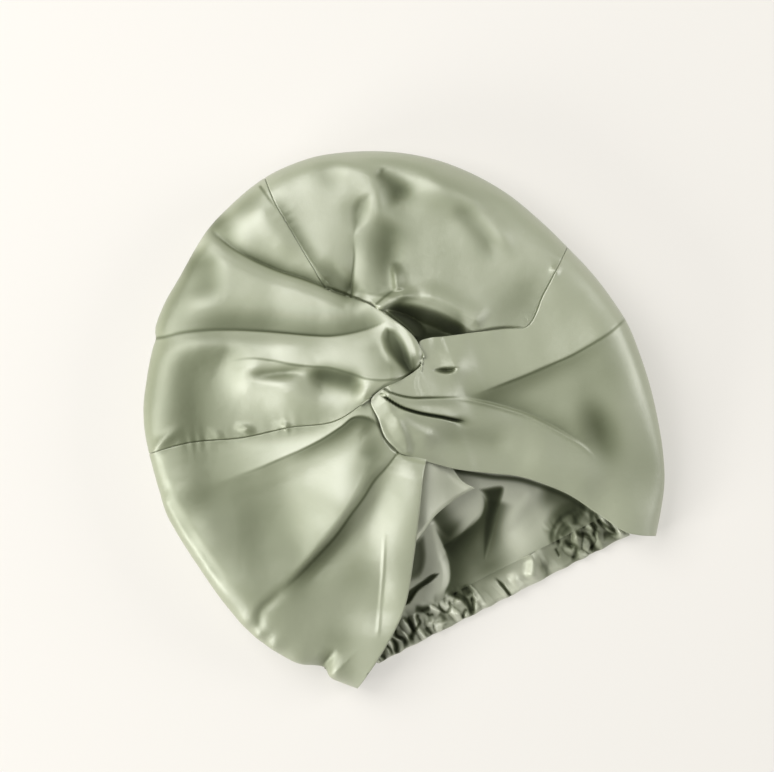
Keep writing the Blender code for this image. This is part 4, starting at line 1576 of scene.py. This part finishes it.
# Lining and casing are pressed by the same folds, so that they meet
MOUTH_FOLDS: Relief = (
    LINING_FOLDS + CASING_FOLDS
    + tuple(crinkle(*pit) for pit in RUFFLE_PITS) + tuple(Fold(*crest) for crest in RUFFLE_CRESTS)
)

FLAP_FOLDS: Relief = (
    Fold(((10, -50), (1, -65), (-8, -84)), 3.5, 9, 7, 0.0, 0.0),
    Dent((13, -69), -0.5, 11, 1.5, 70, 3),
    Fold(((17, -58), (20, -68), (26, -80)), -0.5, 2, 2, 0.3, 0.1),
)

# Sides of the lining from its seam inwards, and sides and free edge of the flap
LINING_LEFT: Points = ((-90, -135.94), (-82, -92), (-60, -46))
LINING_RIGHT: Points = ((112, -135.94), (104, -94), (80, -46))
FLAP_LEFT: Points = ((-10, -40), (-16, -68), (-24, -94))
FLAP_RIGHT: Points = ((15, -44), (21, -62), (23, -72), (28, -80))
FLAP_EDGE: Points = ((-24, -94), (-15, -90), (-3, -84), (5, -82), (16, -80), (28, -80))
# fmt: on


@dataclass
class MouthInside:
    """What is seen through the mouth: the bunched lining, the flap and the nape casing.

    The lining stays below the front by below_front, and never nearer to it than ceiling, but
    may rise by open_above where the mouth is open. Under the hems it flattens, over hem_fade
    from hem_margin in, and drops by hem_drop. The flap falls by flap_drop to its free edge and
    by flap_tilt to its right, and the last of it, past flap_roll, curls down by flap_curl.
    """

    gathers: NapeGathers = NapeGathers()
    wall: float = 0.9
    step: float = 0.95
    lining_length: float = 92.0
    lining_width: float = 200.0
    below_front: float = 10.0
    ceiling: float = 5.0
    open_above: float = 12.0
    steepness: float = 1.5
    lowest: float = 2.6
    hem_margin: float = 2.0
    hem_fade: float = 8.0
    hem_drop: float = 9.0
    hem_flatness: float = 0.8
    mouth_margin: float = 4.0
    casing_wall: float = 0.8
    casing_places: int = 360
    casing_seam: float = -136.0
    casing_nape: float = -155.0
    casing_height: float = 6.5
    casing_slope: float = 0.3
    casing_floor: float = 0.5
    casing_lowest: float = 0.4
    casing_overlap: float = 2.0
    casing_arc: int = 9
    casing_top: int = 20
    casing_start: tuple[float, float] = (-80.0, -86.0)
    casing_end: tuple[float, float] = (105.0, 109.0)
    flap_height: float = 56.0
    flap_drop: float = 11.0
    flap_tilt: float = 4.0
    flap_roll: float = 0.94
    flap_curl: float = 3.0

    def seam_height(self) -> float:
        """Height where the casing meets the lining."""
        run = self.casing_seam - self.casing_nape - self.casing_height / 2
        return self.casing_height + self.casing_slope * run

    def lining_grid(self, form: PuffedForm, rim: Route) -> np.ndarray:
        """The bunched lining, rising from the nape towards the inside.

        Args:
            form: the dome of the front, which the lining stays under.
            rim: the widest line.

        Returns:
            Rows by columns of places, in millimetres, with the painted shade at each.
        """
        left, right = Route(LINING_LEFT), Route(LINING_RIGHT)
        bottom, top = (Line(np.array([left.places[k], right.places[k]])) for k in (0, -1))
        rows, columns = round(self.lining_length / self.step), round(self.lining_width / self.step)
        inwards, across = np.mgrid[0 : 1 : rows * 1j, 0 : 1 : columns * 1j]
        plan = Patch(bottom, top, left, right).places(across, inwards)
        lift, painted_shade = press_all(MOUTH_FOLDS, plan)
        ruffle, pit = self.gathers.lift(plan[..., 0], plan[..., 1])
        front = form.height(plan, rim)
        rise = ease(inwards * self.steepness)
        height = self.seam_height() + (front - self.below_front - self.seam_height()) * rise
        beyond = np.maximum(-Route(RIGHT_HEM).measure(plan)[0], Route(LEFT_HEM).measure(plan)[0])
        hidden = ease((beyond - self.hem_margin) / self.hem_fade)
        height = height + (lift + ruffle) * (1 - self.hem_flatness * hidden)
        height = height - self.hem_drop * hidden * rise
        open_share = 1 - ease((beyond + self.mouth_margin) / self.mouth_margin)
        highest = front - self.ceiling + self.open_above * open_share
        height = np.clip(height, self.lowest, np.maximum(highest, self.lowest))
        # Painted shade from the folds and from the ruffles' pits
        return np.dstack([plan, height, painted_shade + pit])

    def casing_section(self) -> list[tuple[float, float, float]]:
        """Place across the nape, height and share of ruffle round the casing's section.

        Returns:
            The section's places, from under the seam to the seam on top.
        """
        seam, nape, floor = self.casing_seam, self.casing_nape, self.casing_floor
        top, half = self.casing_height, self.casing_height / 2
        middle = nape + half
        section = [(seam + self.casing_overlap, floor, 0.0), ((seam + nape) / 2, floor, 0.0)]
        for turn in np.linspace(-math.pi / 2, math.pi / 2, self.casing_arc):
            ruffle = float(ease(np.array((turn + 1) / 2)))
            section.append((middle - half * math.cos(turn), half + half * math.sin(turn), ruffle))
        for y in np.linspace(middle, seam, self.casing_top)[1:]:
            section.append((y, top + self.casing_slope * (y - middle), 1.0))
        return section

    def casing_grid(self) -> np.ndarray:
        """The gathered casing: flat underneath, round the nape edge and back on top.

        Returns:
            Rows by columns of places, in millimetres, with how deep in hollows each lies.
        """
        rows = []
        for y, z, ruffle in self.casing_section():
            share = (y - self.casing_nape) / (self.casing_seam - self.casing_nape)
            ends = (a + (b - a) * share for a, b in (self.casing_start, self.casing_end))
            x = np.linspace(*ends, self.casing_places)
            wave, pit = self.gathers.lift(x, np.full_like(x, y))
            lift, painted_shade = press_all(MOUTH_FOLDS, np.stack([x, np.full_like(x, y)], axis=-1))
            # The ruffles' pits and the folds bring painted shade
            wave, pit = wave + lift, pit + painted_shade
            scallop = 0.6 * np.sin(x / 2.7 + 1.5 * np.sin(x / 11)) + 0.12 * wave
            reach = ruffle * (1 - share) * scallop
            height = np.maximum(z + wave * ruffle, self.casing_lowest)
            rows.append(np.stack([x, y - reach, height, pit * ruffle], axis=-1))
        return np.array(rows)

    def flap_grid(self) -> np.ndarray:
        """The turned-in flap that hangs inside from under the twist.

        Returns:
            Rows by columns of places, in millimetres, with the painted shade at each.
        """
        left, right = Route(FLAP_LEFT), Route(FLAP_RIGHT)
        top = Line(np.array([left.places[0], right.places[0]]))
        down, across = np.mgrid[0:1:56j, 0:1:48j]
        plan = Patch(top, Route(FLAP_EDGE), left, right).places(across, down)
        lift, painted_shade = press_all(FLAP_FOLDS, plan)
        roll = np.clip((down - self.flap_roll) / (1 - self.flap_roll), 0, 1)
        height = self.flap_height - self.flap_drop * down - self.flap_tilt * across + lift
        return np.dstack([plan, height - self.flap_curl * roll**2, painted_shade])

    def build(self) -> None:
        """Build and dress the lining, the casing and the flap."""
        # The lining, casing and flap get a lighter copy of the satin: painted light that makes up
        # for the shade inside the mouth
        inner, casing = (
            Satin(name, light=Tint(0.72, 0.745, 0.60), dark=Tint(0.61, 0.64, 0.49)).material()
            for name in ("lining_satin", "casing_satin")
        )
        lining_grid = self.lining_grid(PuffedForm(), Route(RIM, steps=5))
        lining = cloth_piece("lining_cloth", lining_grid, self.wall, inner)
        dress(lining, "lining")
        nape = cloth_piece("nape_casing_cloth", self.casing_grid(), self.casing_wall, casing)
        dress(nape, "nape_casing")
        flap = cloth_piece("twist_facing_cloth", self.flap_grid(), self.wall, inner)
        dress(flap, "twist_facing")


@dataclass(frozen=True)
class Lamp:
    """A square soft light that faces the bonnet: degrees from +X and above the floor, and size."""

    name: str
    azimuth: float
    elevation: float
    size: float
    watts: float
    colour: Tint = Tint(1.0, 0.99, 0.97)
    distance: float = 2.0

    def build(self) -> None:
        """Add the light."""
        data = bpy.data.lights.new(self.name, "AREA")
        data.energy = self.watts
        data.size = self.size
        data.color = self.colour.rgba[:3]
        light = bpy.data.objects.new(self.name, data)
        turn, rise = math.radians(self.azimuth), math.radians(self.elevation)
        flat, high = self.distance * math.cos(rise), self.distance * math.sin(rise)
        light.location = (flat * math.cos(turn), flat * math.sin(turn), high)
        light.rotation_euler = (0.0, math.pi / 2 - rise, turn)
        bpy.context.scene.collection.objects.link(light)


@dataclass
class Studio:
    """The pale floor, the soft light and the camera straight above the twist."""

    frame_width: float = 0.5054
    lens: float = 150.0
    sensor: float = 36.0
    roll: float = -27.07
    aim: tuple[float, float, float] = (0.00469, 0.0051, 0.02)
    floor_size: float = 6.0
    floor_glow: float = 0.58
    room_light: float = 0.2
    lamps: tuple[Lamp, ...] = (
        Lamp("window", 122.0, 50.0, 1.5, 43.0, Tint(1.0, 0.985, 0.985)),
        Lamp("reflector", 184.0, 18.0, 1.0, 33.0),
        Lamp("fill", 345.0, 26.0, 1.0, 19.0),
    )

    def floor(self) -> None:
        """Add the floor, in matt paper that glows a little."""
        ground = bmesh.new()
        bmesh.ops.create_grid(ground, x_segments=1, y_segments=1, size=self.floor_size)
        mesh = bpy.data.meshes.new("floor")
        ground.to_mesh(mesh)
        ground.free()
        material = bpy.data.materials.new("floor_paper")
        material.use_nodes = True
        NodeKit(material.node_tree).feed(
            material.node_tree.nodes["Principled BSDF"],
            {
                "Base Color": Tint(0.34, 0.33, 0.31).rgba,
                "Roughness": 1.0,
                "Specular IOR Level": 0.0,
                "Emission Color": Tint(0.86, 0.84, 0.79).rgba,
                "Emission Strength": self.floor_glow,
            },
        )
        mesh.materials.append(material)
        floor = bpy.data.objects.new("floor", mesh)
        bpy.context.scene.collection.objects.link(floor)

    def camera(self) -> None:
        """Add the camera, straight above."""
        data = bpy.data.cameras.new("camera")
        data.lens = self.lens
        data.sensor_width = self.sensor
        data.clip_end = 20.0
        camera = bpy.data.objects.new("camera", data)
        distance = self.lens / self.sensor * self.frame_width
        camera.location = (self.aim[0], self.aim[1], self.aim[2] + distance)
        camera.rotation_euler = (0.0, 0.0, math.radians(self.roll))
        bpy.context.scene.collection.objects.link(camera)
        bpy.context.scene.camera = camera

    def build(self) -> None:
        """Make the floor, the lights, the surroundings and the camera."""
        self.floor()
        for lamp in self.lamps:
            lamp.build()
        world = bpy.data.worlds.new("studio")
        world.use_nodes = True
        room = {"Color": Tint(0.95, 0.95, 0.93).rgba, "Strength": self.room_light}
        NodeKit(world.node_tree).feed(world.node_tree.nodes["Background"], room)
        bpy.context.scene.world = world
        bpy.context.scene.view_settings.view_transform = "Standard"
        self.camera()


def main() -> None:
    """Build the bonnet and its studio; each piece logs its face count."""
    logging.basicConfig(level=logging.INFO, format="%(name)s: %(message)s")
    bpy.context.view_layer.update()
    OuterShell().build()
    MouthInside().build()
    Studio().build()


if __name__ == "__main__":
    main()
